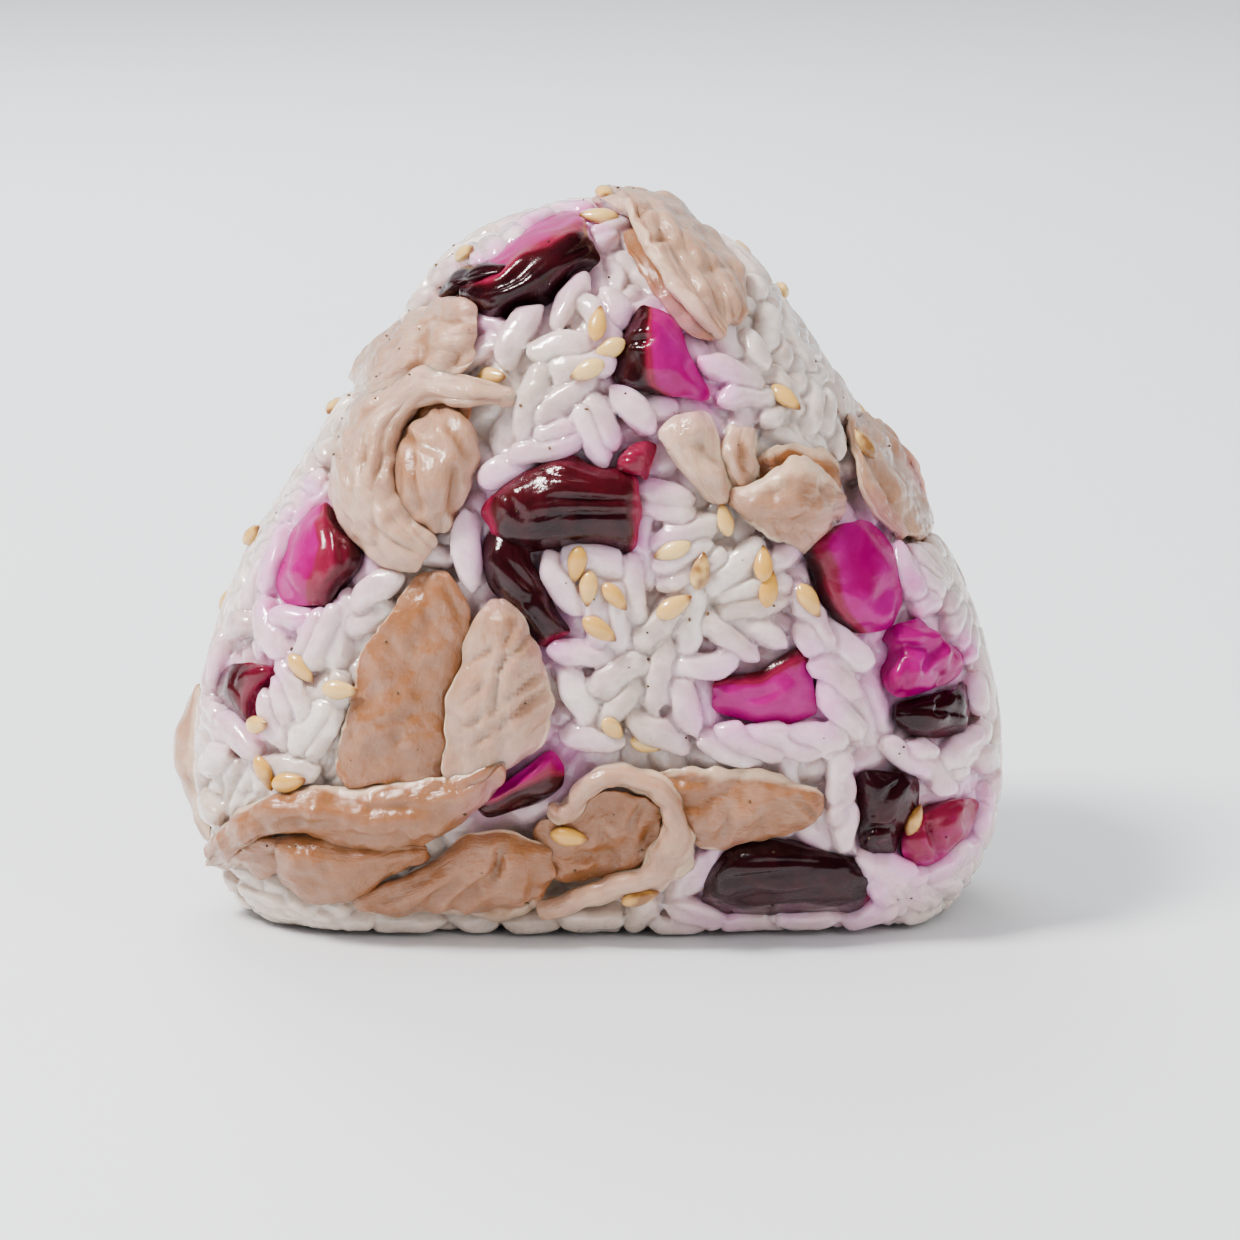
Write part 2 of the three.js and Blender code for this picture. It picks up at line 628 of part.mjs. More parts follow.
        spine: [[-29, 18, 9], [-22, 20, 11], [-14, 20, 12], [-7, 20, 10]],
        width: [2.6, 4.6, 4.8, 3],
        near: 3.2,
        middle: 1.6,
        far: 2.8,
        ruffle: 0.6,
        waves: 2.5,
        steps: 7,
      },
    ],
  },
  {
    name: "pork_back_top",
    layers: [
      {
        spine: [[14, 15, 61], [19, 14, 55], [23, 14, 48]],
        width: [2.6, 4.4, 3],
        near: 1.5,
        middle: 2.2,
        far: 2,
        steps: 4,
      },
    ],
  },
  {
    name: "pork_right_low",
    layers: [
      {
        spine: [[30, 15, 27], [32, 14, 19], [29, 14, 11]],
        width: [2.6, 4.2, 3],
        near: 2.4,
        middle: 2.2,
        far: 1.5,
        steps: 4,
      },
    ],
  },
];

// ---- The chunks, by where they lie -----------------------------------------------------------

const PICKLES = [
  {
    name: "pickle_top_corner",
    nearEdge: [[-16.1, 24.9], [-14.4, 26], [-12.4, 26.4], [-10.2, 26.9], [-8.8, 27.6]],
    farEdge: [[-15.7, 26.2], [-14.1, 27.9], [-12.1, 28.5], [-9.9, 28.5], [-8.5, 28.3]],
    near: [0.8, 1.6, 2, 2.4, 2.4], middle: [1.2, 2.7, 3.6, 3.9, 3.1],
    far: [0.8, 1.5, 1.8, 2.2, 2.3],
  },
  {
    name: "pickle_top_left",
    nearEdge: [[-14.2, 24.9], [-11, 22.7], [-8, 24], [-5, 25], [-2.2, 27.5], [0.5, 28.2]],
    farEdge: [[-13.9, 27], [-10.6, 29], [-7.4, 31.7], [-4.2, 33.6], [-2, 34.1], [-1.2, 33]],
    near: [0.7, 0.7, 0.8, 0.9, 0.9, 0.7], middle: [1.9, 3.6, 3.8, 3.9, 3.6, 1.9],
    far: [1.1, 1.8, 1.5, 1.4, 1.3, 0.8],
  },
  {
    name: "pickle_upper",
    nearEdge: [[4.2, 24.4], [3.3, 22.6], [2.3, 20.6], [1.9, 18.6], [1.8, 16.5], [3.6, 15.7]],
    farEdge: [[7, 23.6], [8.2, 22.3], [9.1, 19.9], [10.2, 17.5], [11.1, 15.8], [11.7, 14.4]],
    near: [0.8, 0.9, 0.9, 0.9, 0.7, 0.5], middle: [1.7, 3.5, 3.6, 3.2, 2.4, 1.5],
    far: [0.8, 1, 1.1, 1.1, 1, 0.7],
  },
  {
    name: "pickle_left",
    nearEdge: [[-28.3, 4.2], [-30.4, 2.2], [-31.3, -0.2], [-32.2, -2.8], [-31.8, -4.8],
      [-31, -5.7]],
    farEdge: [[-26.8, 4.7], [-25.7, 2.2], [-23.8, 0], [-24, -1.9], [-26, -4.3], [-26.6, -5.7]],
    near: [0.8, 0.9, 0.9, 0.9, 0.8, 0.5], middle: [1.8, 3.3, 3.6, 3.5, 2.5, 1.3],
    far: [0.9, 1.1, 0.9, 0.9, 0.8, 0.6],
  },
  {
    name: "pickle_centre",
    nearEdge: [[-10, -0.2], [-8.9, -0.5], [-6.6, -0.6], [-3.4, -0.1], [0, -0.1], [2.6, -0.5],
      [4, -0.5]],
    farEdge: [[-11.7, 4.4], [-9.2, 6.3], [-6.6, 8], [-3.4, 9.2], [0, 8.1], [2.6, 7.9],
      [4.6, 7.2]],
    near: [0.7, 0.8, 0.9, 0.9, 0.9, 0.9, 0.7], middle: [1.6, 3.4, 4, 4.1, 4.1, 3.9, 2.1],
    far: [0.8, 1.3, 1.4, 1.5, 1.5, 1.4, 1],
  },
  {
    name: "pickle_centre_tip",
    nearEdge: [[1.9, 7.9], [3, 7.4], [4.4, 6.9], [5, 6.4]],
    farEdge: [[2, 8.6], [3.1, 10], [4.7, 10.6], [6.2, 10.4]],
    near: [1.1, 1.5, 1.5, 0.8], middle: [1.5, 3, 3, 1.5], far: [1.2, 1.3, 1.2, 0.8],
  },
  {
    name: "pickle_strip",
    nearEdge: [[-11.2, 1.9], [-11.6, -0.8], [-11, -3.8], [-8.9, -6], [-7.2, -8.4], [-5.8, -10]],
    farEdge: [[-6.4, 0.4], [-6.5, -1.4], [-5.2, -3.6], [-4.2, -6.1], [-2.9, -7.9], [-2.6, -8.6]],
    near: [0.7, 0.8, 0.8, 0.8, 0.8, 0.5], middle: [1.9, 2.9, 3, 3, 2.5, 1.1],
    far: [0.7, 0.9, 0.9, 0.9, 0.8, 0.5],
  },
  {
    name: "pickle_disc",
    nearEdge: [[23.4, 2.2], [20.6, 0.3], [21.4, -2.6], [22.2, -5.4], [24.2, -7.6], [25.6, -8.7]],
    farEdge: [[27.2, 3], [29, 1], [30.4, -1.8], [30.6, -4.6], [30, -6.8], [29.8, -8]],
    near: [0.9, 0.6, 0.6, 0.6, 0.6, 0.5], middle: [2, 3.2, 3.4, 3.3, 2.7, 1.4],
    far: [0.9, 1, 1.1, 1.1, 1, 0.6],
  },
  {
    name: "pickle_right_pink",
    nearEdge: [[29.4, -7.6], [29.2, -9.2], [29.6, -11], [28.6, -13.2], [29.6, -15.2]],
    farEdge: [[32.6, -7], [33.8, -8.6], [36.5, -10.4], [36.4, -12.2], [35.2, -13.6]],
    near: [0.9, 0.9, 0.9, 0.9, 0.7], middle: [1.7, 3, 3.1, 3, 1.5],
    far: [0.9, 1.1, 1.1, 1.1, 0.8],
  },
  {
    name: "pickle_right_dark",
    nearEdge: [[29.7, -17.7], [31.6, -18.7], [34.2, -18.9], [36.4, -18.4], [37.2, -17.6]],
    farEdge: [[30, -15.4], [31.6, -15], [34.2, -14.3], [36.6, -13.5], [37.2, -14.6]],
    near: [0.7, 0.8, 0.8, 0.7, 0.4], middle: [1.5, 2.9, 3, 2.1, 0.9],
    far: [0.7, 1.1, 1.1, 0.9, 0.4],
  },
  {
    name: "pickle_mid_right",
    nearEdge: [[11.4, -16.3], [13.2, -16.8], [16.2, -17.6], [19.4, -17.6], [22.6, -16.8]],
    farEdge: [[11.6, -13.1], [13.6, -12.7], [16.6, -12.2], [19.6, -10], [20.5, -9.6]],
    near: [0.5, 0.7, 0.8, 0.8, 0.5], middle: [1.2, 2, 2.3, 2.2, 1.1],
    far: [0.6, 0.9, 1.2, 1.1, 0.6],
  },
  {
    name: "pickle_low_right",
    nearEdge: [[26, -22.1], [25.9, -23.8], [26.3, -26.4], [26.1, -28.8], [26.4, -30.4]],
    farEdge: [[32, -22.4], [32.2, -24.1], [31.8, -26.4], [30.3, -28.6], [29.9, -30.8]],
    near: [0.8, 0.9, 0.9, 0.9, 0.5], middle: [2, 3.4, 3.4, 3, 1.2], far: [0.9, 1.1, 1.1, 1, 0.6],
  },
  {
    name: "pickle_right_corner",
    nearEdge: [[30.2, -30.8], [32.4, -31.8], [34.4, -30.9], [36.6, -29], [37.5, -27.6]],
    farEdge: [[31, -27.6], [32.7, -26.5], [34.7, -25.6], [36.8, -24.9], [38.2, -25]],
    near: [0.7, 0.8, 0.8, 0.7, 0.4], middle: [1.5, 2.6, 2.4, 1.7, 0.8],
    far: [0.8, 1.1, 1.1, 0.9, 0.4],
  },
  {
    name: "pickle_bottom",
    nearEdge: [[10.3, -36], [12.4, -36.5], [16, -36.7], [20, -36.7], [23.4, -36.2], [25.9, -36.5],
      [26.9, -35.5]],
    farEdge: [[10.6, -32.6], [12.8, -30.3], [16.2, -29.1], [20, -29.8], [24.2, -30.8],
      [27.4, -31.8], [28.2, -32.8]],
    near: [0.6, 0.7, 0.8, 0.8, 0.7, 0.5, 0.3], middle: [1.5, 3.4, 3.8, 3.8, 3.2, 1.8, 0.8],
    far: [0.7, 1.2, 1.3, 1.2, 1.1, 0.8, 0.4],
  },
  {
    name: "pickle_left_small",
    nearEdge: [[-37, -11.5], [-37.9, -12.8], [-38.1, -14.4], [-37, -15.8], [-35.4, -17.3]],
    farEdge: [[-34, -11.4], [-32.3, -12.1], [-33.7, -13.9], [-34.6, -15.4], [-34.7, -17]],
    near: [0.7, 0.7, 0.7, 0.7, 0.5], middle: [1.5, 2.5, 2.4, 1.8, 0.9],
    far: [0.8, 0.9, 0.9, 0.8, 0.5],
  },
  {
    name: "pickle_sliver",
    nearEdge: [[-12.2, -26.1], [-10.8, -26.9], [-8, -26.1], [-5.2, -25.1], [-3.4, -24]],
    farEdge: [[-12, -25.1], [-10, -24], [-7.2, -22], [-4.8, -20.4], [-3.3, -21.4]],
    near: [0.7, 1, 1.1, 1, 0.6], middle: [1.2, 3.1, 3.4, 3.2, 1.4], far: [0.9, 1.8, 2, 1.6, 0.7],
  },
  { name: "pickle_back_high", at: [1, 19, 60], turn: 15, length: 13, width: 8.4, thick: 7,
    top: 2.8 },
  { name: "pickle_back_right", at: [22, 20, 35], turn: -70, length: 14, width: 8, thick: 7,
    top: 2.8, taper: 0.35 },
  { name: "pickle_back_disc", at: [-23, 20, 29], turn: 90, length: 7, width: 9, thick: 11,
    top: 2.4, stand: 84, cut: 1, taper: 0.12 },
  { name: "pickle_back_left", at: [-24, 17.5, 39], turn: 65, length: 11, width: 7, thick: 6.5,
    top: 2.6, roll: 150 },
  { name: "pickle_back_low", at: [21, 19, 8.5], turn: 8, length: 15, width: 7.4, thick: 7,
    top: 2.8, taper: 0.4 },
  { name: "pickle_back_middle", at: [-9, 22.5, 26], turn: -35, length: 11, width: 6, thick: 6,
    top: 2.4, roll: 60 },
  { name: "pickle_left_side", at: [-34, 11, 27], turn: -75, length: 9, width: 6, thick: 6,
    top: 2.2 },
  { name: "pickle_right_side", at: [30, 10, 38], turn: -62, length: 10, width: 6.4, thick: 6,
    top: 2.3, roll: -150 },
];

// ---- Fitting the pieces on the core ----------------------------------------------------------

const clearCore = coreSolid(GAP, CORE_DETAIL);
const belowBase = blockBelow(FLOOR_GAP);

const makers = [
  ...PICKLES.map((row) => ({
    name: row.name,
    kind: "pickle",
    make: (grow) => (row.nearEdge ? wedgeSolid(row, grow) : chunkSolid(row, grow)),
  })),
  ...PORK.map((row) => ({ name: row.name, kind: "pork", make: (grow) => sliceSolid(row, grow) })),
];

/** Cuts each piece clear of the core, the base and the pieces laid before it. */
function fitPieces(rows) {
  const laid = [];
  for (const row of rows) {
    let solid = row.make(0).subtract(clearCore).subtract(belowBase);
    for (const other of laid)
      if (boxesMeet(solid, other.cutter)) solid = solid.subtract(other.cutter);
    laid.push({ ...row, solid: largestBody(solid), cutter: row.make(GAP) });
  }
  return laid;
}

const pieces = fitPieces(makers);

// ---- Rice grains and sesame seeds ------------------------------------------------------------

/** A small solid, pointed at both ends, that lies in the surface with its length turned. */
function kernelSolid(point, turned, tilt, length, width, lift) {
  const { right, up, out } = frameAt(point);
  const ahead = right.clone().multiplyScalar(Math.cos(turned)).addScaledVector(up, Math.sin(turned));
  const axis = ahead.clone().multiplyScalar(Math.cos(tilt)).addScaledVector(out, Math.sin(tilt));
  const side = out.clone().cross(ahead);
  const high = axis.clone().cross(side);
  const kernel = new THREE.SphereGeometry(0.5, 6, 3);
  kernel.rotateZ(-Math.PI / 2);
  kernel.scale(length, width, KERNEL_FLATNESS * width);
  kernel.applyMatrix4(new THREE.Matrix4().makeBasis(axis, side, high));
  const middle = point.clone().addScaledVector(out, lift);
  kernel.translate(middle.x, middle.y, middle.z);
  return toSolid(kernel);
}

/** Spreads kernels over the core, each at least spacing from those before it, and skips any that
 * would cross a slice, a chunk or a kernel in the way. */
function spreadKernels(draw, { count, tries, spacing, length, width, lift, tilt, blockers }) {
  const placed = [];
  for (let n = 0; n < tries && placed.length < count; n++) {
    const level = 2 * draw() - 1;
    const bearing = 2 * Math.PI * draw();
    const turned = Math.PI * draw();
    const leaned = (2 * draw() - 1) * tilt;
    const size = THREE.MathUtils.lerp(...KERNEL_SIZES, draw());
    const flat = Math.sqrt(1 - level * level);
    const way = new THREE.Vector3(flat * Math.cos(bearing), flat * Math.sin(bearing), level);
    const point = dropOn(way.add(MIDDLE));
    if (point.z < 0.3 * width) continue;
    if (placed.some((other) => other.point.distanceTo(point) < spacing)) continue;
    const solid = kernelSolid(point, turned, leaned, length * size, width, lift);
    const crosses = blockers.some(
      (other) => boxesMeet(solid, other) && solid.intersect(other).volume() > 0,
    );
    if (!crosses) placed.push({ point, solid });
  }
  return placed.map((kernel) => kernel.solid);
}

const draw = seededDraw(20240607);
const cutters = pieces.map((piece) => piece.cutter);
const grains = spreadKernels(draw, {
  count: 400,
  tries: 40000,
  spacing: GRAIN_SPACING,
  length: GRAIN_LENGTH,
  width: GRAIN_WIDTH,
  lift: GRAIN_LIFT,
  tilt: GRAIN_TILT,
  blockers: cutters,
});
const seeds = spreadKernels(draw, {
  count: SEED_COUNT,
  tries: 4000,
  spacing: SEED_SPACING,
  length: SEED_LENGTH,
  width: SEED_WIDTH,
  lift: SEED_LIFT,
  tilt: 0.1,
  blockers: cutters,
});

/** Joins many solids two by two, so that each join stays small. */
function joinAll(solids) {
  let left = solids;
  while (left.length > 1) {
    const next = [];
    for (let i = 0; i < left.length; i += 2)
      next.push(i + 1 < left.length ? left[i].add(left[i + 1]) : left[i]);
    left = next;
  }
  return left[0];
}

const core = coreSolid(0, CORE_DETAIL);
const rice = largestBody(joinAll([core, ...grains, ...seeds]).subtract(blockBelow(0)));

// ---- The group -------------------------------------------------------------------------------

const MATERIALS = {
  rice: new THREE.MeshStandardMaterial({ color: 0xe4dfd8, roughness: 0.35, metalness: 0 }),
  pork: new THREE.MeshStandardMaterial({ color: 0xc9a58c, roughness: 0.45, metalness: 0 }),
  pickle: new THREE.MeshStandardMaterial({ color: 0x5a1438, roughness: 0.25, metalness: 0 }),
};

function namedMesh(name, solid, material) {
  const mesh = new THREE.Mesh(toGeometry(solid), material);
  mesh.name = name;
  return mesh;
}

const onigiri = new THREE.Group();
onigiri.name = "onigiri";
onigiri.add(namedMesh("rice", rice, MATERIALS.rice));
for (const { name, kind, solid } of pieces) onigiri.add(namedMesh(name, solid, MATERIALS[kind]));

export default onigiri;
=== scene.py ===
"""Looks of a hand-pressed onigiri: a three-cornered ball of cooked rice with thin slices of boiled
pork, chunks of purple pickled eggplant, sesame seeds and specks of pepper in its surface.

Every shape is a surface of two parameters worked out with numpy in millimetres, and goes into its
mesh in metres. +Z is up, the broad front looks along -Y, and the origin is the middle of the base.
"""

import logging
import math
from collections.abc import Callable
from dataclasses import dataclass, field
from enum import Enum

import bpy
import numpy as np
from mathutils import Matrix, Vector
from mathutils.bvhtree import BVHTree


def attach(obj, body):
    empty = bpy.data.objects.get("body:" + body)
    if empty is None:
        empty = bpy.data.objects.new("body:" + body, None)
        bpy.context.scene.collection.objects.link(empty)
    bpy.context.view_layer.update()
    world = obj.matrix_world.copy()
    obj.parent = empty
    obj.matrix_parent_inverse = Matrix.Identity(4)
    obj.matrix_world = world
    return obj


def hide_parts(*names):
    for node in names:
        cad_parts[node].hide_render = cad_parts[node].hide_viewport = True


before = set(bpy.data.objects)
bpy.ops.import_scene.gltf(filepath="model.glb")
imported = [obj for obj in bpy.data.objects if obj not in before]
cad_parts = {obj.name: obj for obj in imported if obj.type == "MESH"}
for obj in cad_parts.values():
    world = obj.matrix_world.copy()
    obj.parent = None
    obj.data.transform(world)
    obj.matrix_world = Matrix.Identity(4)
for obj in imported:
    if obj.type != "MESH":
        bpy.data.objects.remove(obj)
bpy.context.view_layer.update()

BODY = "root"
MM = 0.001
TAU = 2 * math.pi

Array = np.ndarray
Object = bpy.types.Object
Material = bpy.types.Material
Socket = bpy.types.NodeSocket
Place = tuple[float, float, float]
Colour = tuple[float, float, float]
Rows = tuple[tuple[float, ...], ...]
Stations = float | tuple[float, ...]
Feed = Socket | float | tuple[float, ...]
log = logging.getLogger("onigiri")


# ---- Arrays and meshes ----


def unit(vectors: Array) -> Array:
    """Returns the vectors along the last axis at length 1."""
    return vectors / np.maximum(np.linalg.norm(vectors, axis=-1, keepdims=True), 1e-9)


def ease(t: Array) -> Array:
    """Returns t clipped to 0 to 1 and smoothed at both ends: 3t^2 - 2t^3."""
    t = np.clip(t, 0, 1)
    return t * t * (3 - 2 * t)


def along(stations: Stations, t: Array) -> Array:
    """A value that eases from station to station, spread evenly over t from 0 to 1.

    Args:
        stations: one value, or the values in order.
        t: where to read them.

    Returns:
        The value at each t.
    """
    values = np.atleast_1d(np.asarray(stations, float))
    if len(values) == 1:
        return np.full(np.shape(t), values[0])
    place = np.clip(t, 0, 1) * (len(values) - 1)
    k = np.minimum(place.astype(int), len(values) - 2)
    return values[k] + (values[k + 1] - values[k]) * ease(place - k)


def ripples(points: Array, wavelength: float, seed: int, waves: int = 8) -> Array:
    """A smooth uneven field, mostly from -1 to 1: a sum of plane sine waves.

    Args:
        points: places in mm.
        wavelength: the usual distance between crests, in mm.
        seed: picks the waves.
        waves: how many there are.

    Returns:
        The field at each point.
    """
    draw = np.random.default_rng(seed)
    ways = unit(draw.normal(size=(waves, 3)))
    numbers = TAU / (wavelength * draw.uniform(0.7, 1.5, waves))
    phases = draw.uniform(0, TAU, waves)
    total = np.sin(points @ (ways * numbers[:, None]).T + phases).sum(-1)
    return total * 0.8 / math.sqrt(waves)


def creases(phase: Array, sharpness: float = 0.6) -> Array:
    """Rounded ridges with sharp valleys between them: |sin(phase / 2)| to a power, from 0 to 1."""
    return np.abs(np.sin(phase / 2)) ** sharpness


@dataclass
class Shell:
    """Closed surfaces as arrays: points in mm, faces, and named fields with one value a point."""

    points: Array
    quads: Array = field(default_factory=lambda: np.zeros((0, 4), int))
    tris: Array = field(default_factory=lambda: np.zeros((0, 3), int))
    fields: dict[str, Array] = field(default_factory=dict)

    @staticmethod
    def joined(shells: list["Shell"]) -> "Shell":
        """Puts shells side by side in one.

        Args:
            shells: the shells, all with the same fields.

        Returns:
            The one shell.
        """
        starts = np.cumsum([0] + [len(s.points) for s in shells[:-1]])
        return Shell(
            np.concatenate([s.points for s in shells]),
            np.concatenate([s.quads + k for s, k in zip(shells, starts)]),
            np.concatenate([s.tris + k for s, k in zip(shells, starts)]),
            {key: np.concatenate([s.fields[key] for s in shells]) for key in shells[0].fields},
        )

    @staticmethod
    def balls(points: Array, around: int, fields: dict[str, Array] | None = None) -> "Shell":
        """Closes balls of points, each a pole, rings in order, and a pole.

        Args:
            points: the balls' points, a row for each ball.
            around: points on a ring, counted anticlockwise as seen from the last pole.
            fields: values on all points.

        Returns:
            The shell, with three-cornered faces at the poles and four-cornered ones between.
        """
        ring = np.arange(1, points.shape[1] - 1 - around, around)[:, None]
        j = np.arange(around)
        after = (j + 1) % around
        quads = np.stack([ring + j, ring + after, ring + around + after, ring + around + j], -1)
        last = points.shape[1] - 1
        tris = np.concatenate([np.stack([0 * j, 1 + after, 1 + j], -1),
                               last - np.stack([0 * j, around - j, around - after], -1)])
        start = (np.arange(len(points)) * points.shape[1])[:, None, None]
        return Shell(points.reshape(-1, 3), (quads.reshape(-1, 4) + start).reshape(-1, 4),
                     (tris + start).reshape(-1, 3), fields or {})

    @staticmethod
    def pillow(top: Array, bottom: Array, fields: dict[str, Array]) -> "Shell":
        """Closes a flat pillow: an upper grid of points and a lower one that share a rim.

        Args:
            top: the upper grid.
            bottom: the lower grid, whose own rim isn't used.
            fields: values on the grid, which both sides take.

        Returns:
            The shell.
        """
        rows, columns = top.shape[:2]
        inner = (slice(1, -1), slice(1, -1))
        upper = np.arange(rows * columns).reshape(rows, columns)
        lower = upper.copy()
        lower[inner] = rows * columns + np.arange((rows - 2) * (columns - 2)).reshape(rows - 2, -1)
        here, on = slice(None, -1), slice(1, None)
        corners = ((here, here), (on, here), (on, on), (here, on))
        quads = [np.stack([upper[c] for c in corners], -1).reshape(-1, 4),
                 np.stack([lower[c] for c in corners[::-1]], -1).reshape(-1, 4)]
        sides = {"": (top, bottom)} | {key: (f, f) for key, f in fields.items()}
        values = {key: np.concatenate([f.reshape(-1, *f.shape[2:]),
                                       g[inner].reshape(-1, *f.shape[2:])])
                  for key, (f, g) in sides.items()}
        return Shell(values.pop(""), np.concatenate(quads), fields=values)

    def to_object(self, name: str, material: Material | None) -> Object:
        """Makes the mesh object.

        Args:
            name: the piece's name.
            material: its finish.

        Returns:
            The object, at the origin, with every field as an attribute.
        """
        mesh = bpy.data.meshes.new(name)
        mesh.vertices.add(len(self.points))
        mesh.vertices.foreach_set("co", (self.points * MM).astype(np.float32).ravel())
        corners = np.concatenate([self.quads.ravel(), self.tris.ravel()]).astype(np.int32)
        sizes = np.repeat([4, 3], [len(self.quads), len(self.tris)])
        mesh.loops.add(len(corners))
        mesh.loops.foreach_set("vertex_index", corners)
        mesh.polygons.add(len(sizes))
        starts = np.concatenate([[0], np.cumsum(sizes)[:-1]]).astype(np.int32)
        mesh.polygons.foreach_set("loop_start", starts)
        mesh.polygons.foreach_set("use_smooth", np.ones(len(sizes), bool))
        mesh.update(calc_edges=True)
        mesh.validate()
        for key, values in self.fields.items():
            if values.ndim == 2:
                layer = mesh.uv_layers.new(name=key)
                layer.data.foreach_set("uv", values[corners].astype(np.float32).ravel())
            else:
                layer = mesh.attributes.new(key, "FLOAT", "POINT")
                layer.data.foreach_set("value", values.astype(np.float32))
        mesh.materials.append(material)
        piece = bpy.data.objects.new(name, mesh)
        bpy.context.scene.collection.objects.link(piece)
        return piece


def ball(x: Array, wide: Array, around: int) -> Array:
    """A ball of points round the X axis: a pole at -1, rings in order, and a pole at 1.

    Args:
        x: the rings' places.
        wide: their radii.
        around: points on each.

    Returns:
        The points.
    """
    angle = np.arange(around) / around * TAU
    x, wide = x[:, None], wide[:, None]
    rings = np.stack([x + 0 * angle, wide * np.cos(angle), wide * np.sin(angle)], -1)
    return np.concatenate([[[-1, 0, 0]], rings.reshape(-1, 3), [[1, 0, 0]]])


def dense_grid(rows: int, columns: int, bend: float) -> tuple[Array, Array]:
    """A grid that is denser towards its edges: sin(bend w) / sin(bend) with w spread evenly.

    Args:
        rows: how many places there are along it.
        columns: how many across.
        bend: how much denser, from 0 to half of pi.

    Returns:
        u from 0 to 1 and v from -1 to 1.
    """
    v, u = np.meshgrid(*(np.sin(np.linspace(-1, 1, n) * bend) / math.sin(bend)
                         for n in (columns, rows)))
    return (u + 1) / 2, v


def in_parts(rule: Callable[[Array], Array], points: Array, size: int = 4000) -> Array:
    """Returns a rule's values at points, worked out for so many at a time."""
    return np.concatenate([rule(points[k:k + size]) for k in range(0, len(points), size)])


# ---- The body's smooth surface ----


@dataclass(frozen=True)
class RiceBody:
    """The smooth form under the grains: a puffy three-cornered pillow, pressed flat below."""

    middle_height: float = 37.5
    side_reach: float = 26.6
    base_reach: float = 39.6
    side_lean: float = 0.59
    half_depth: float = 21.5
    corner_power: float = 1.65
    pillow_power: float = 2.8

    @property
    def middle(self) -> Array:
        """The point that the body is round about."""
        return np.array([0, 0, self.middle_height])

    def reach(self, offset: Array) -> Array:
        """How far out places are: 1 on the surface, and 2 twice as far from the middle.

        A power mean of the reach towards both slanting sides and the underside rounds the
        triangle, and a second one joins it with the reach to front and back.

        Args:
            offset: places measured from the middle.

        Returns:
            The reach of each.
        """
        x, y, z = offset[..., 0], offset[..., 1], offset[..., 2]
        level, rise = math.cos(self.side_lean), math.sin(self.side_lean)
        sides = (
            np.maximum(0, (level * x + rise * z) / self.side_reach),
            np.maximum(0, (-level * x + rise * z) / self.side_reach),
            np.maximum(0, -z / self.base_reach),
        )
        round_sides = sum(side**self.corner_power for side in sides)
        depth = np.abs(y) / self.half_depth
        triangle = round_sides ** (self.pillow_power / self.corner_power)
        return (triangle + depth**self.pillow_power) ** (1 / self.pillow_power)

    def drop(self, points: Array) -> Array:
        """Returns the surface's points on the lines from the middle through rough points."""
        offset = points - self.middle
        return self.middle + offset / self.reach(offset)[..., None]

    def normals(self, points: Array) -> Array:
        """Works out the outward normals, from the slope of the reach.

        Args:
            points: places in mm.

        Returns:
            The normal at each.
        """
        offset = points - self.middle
        steps = 0.01 * np.eye(3)
        slope = [self.reach(offset + step) - self.reach(offset - step) for step in steps]
        return unit(np.stack(slope, -1))

    def level(self, points: Array) -> Array:
        """Returns how high points are over the surface, measured on lines from the middle."""
        offset = points - self.middle
        return (1 - 1 / self.reach(offset)) * np.linalg.norm(offset, axis=-1)

    def lifted(self, points: Array, rule: Callable[[Array], Array]) -> Array:
        """Moves points on lines from the middle.

        Args:
            points: places in mm.
            rule: makes their new levels from the old ones.

        Returns:
            The moved points.
        """
        offset = points - self.middle
        far = np.linalg.norm(offset, axis=-1)
        level = (1 - 1 / self.reach(offset)) * far
        return self.middle + offset * ((far + rule(level) - level) / far)[..., None]

    def directions(self, points: Array) -> tuple[Array, Array, Array]:
        """Works out the surface's own directions.

        Args:
            points: places in mm.

        Returns:
            To the right, up the slope and outwards, at each.
        """
        out = self.normals(points)
        up = unit(np.array([0, 0, 1.0]) - out * out[..., 2:])
        return np.cross(up, out), up, out


BALL = RiceBody()


@dataclass(frozen=True)
class FrontView:
    """The eye in front of the body.

    It reads places as mm to the right of and above its target, and looks for surfaces from a
    little before that to a little beyond.
    """

    target: Place = (0.0, 0.0, 36.0)
    elevation: float = 13.2
    distance: float = 600.0
    before: float = 60.0
    beyond: float = 40.0
    steps: int = 251

    def axes(self) -> tuple[Array, Array, Array, Array]:
        """Works out the eye's own directions.

        Returns:
            To the right, up and forwards, and the eye's place.
        """
        rise = math.radians(self.elevation)
        up = np.array([0, math.sin(rise), math.cos(rise)])
        forward = np.array([0, math.cos(rise), -math.sin(rise)])
        return np.array([1.0, 0, 0]), up, forward, np.array(self.target) - forward * self.distance

    def places(self, seen: Array) -> Array:
        """Finds the first points at their levels on lines of sight.

        A line that passes wide of its level gives its place nearest to the body.

        Args:
            seen: across, up, level over the body and way back along the line, in mm.

        Returns:
            The points.
        """
        right, up, forward, eye = self.axes()
        line = unit(forward * self.distance + right * seen[..., :1] + up * seen[..., 1:2])
        steps = np.linspace(self.distance - self.before, self.distance + self.beyond, self.steps)
        levels = BALL.level(eye + line[..., None, :] * steps[:, None])
        inside = levels < seen[..., 2:3]
        first = np.where(inside.any(-1), inside.argmax(-1), levels.argmin(-1))
        far = steps[first] + seen[..., 3]
        return eye + line * far[..., None]

    def seen(self, points: Array) -> Array:
        """Finds where points are seen.

        Args:
            points: places in mm.

        Returns:
            Each one's place across and up, in mm.
        """
        right, up, forward, eye = self.axes()
        offset = points - eye
        scale = self.distance / (offset @ forward)
        return np.stack([offset @ right * scale, offset @ up * scale], -1)


VIEW = FrontView()


# ---- Pork slices ----


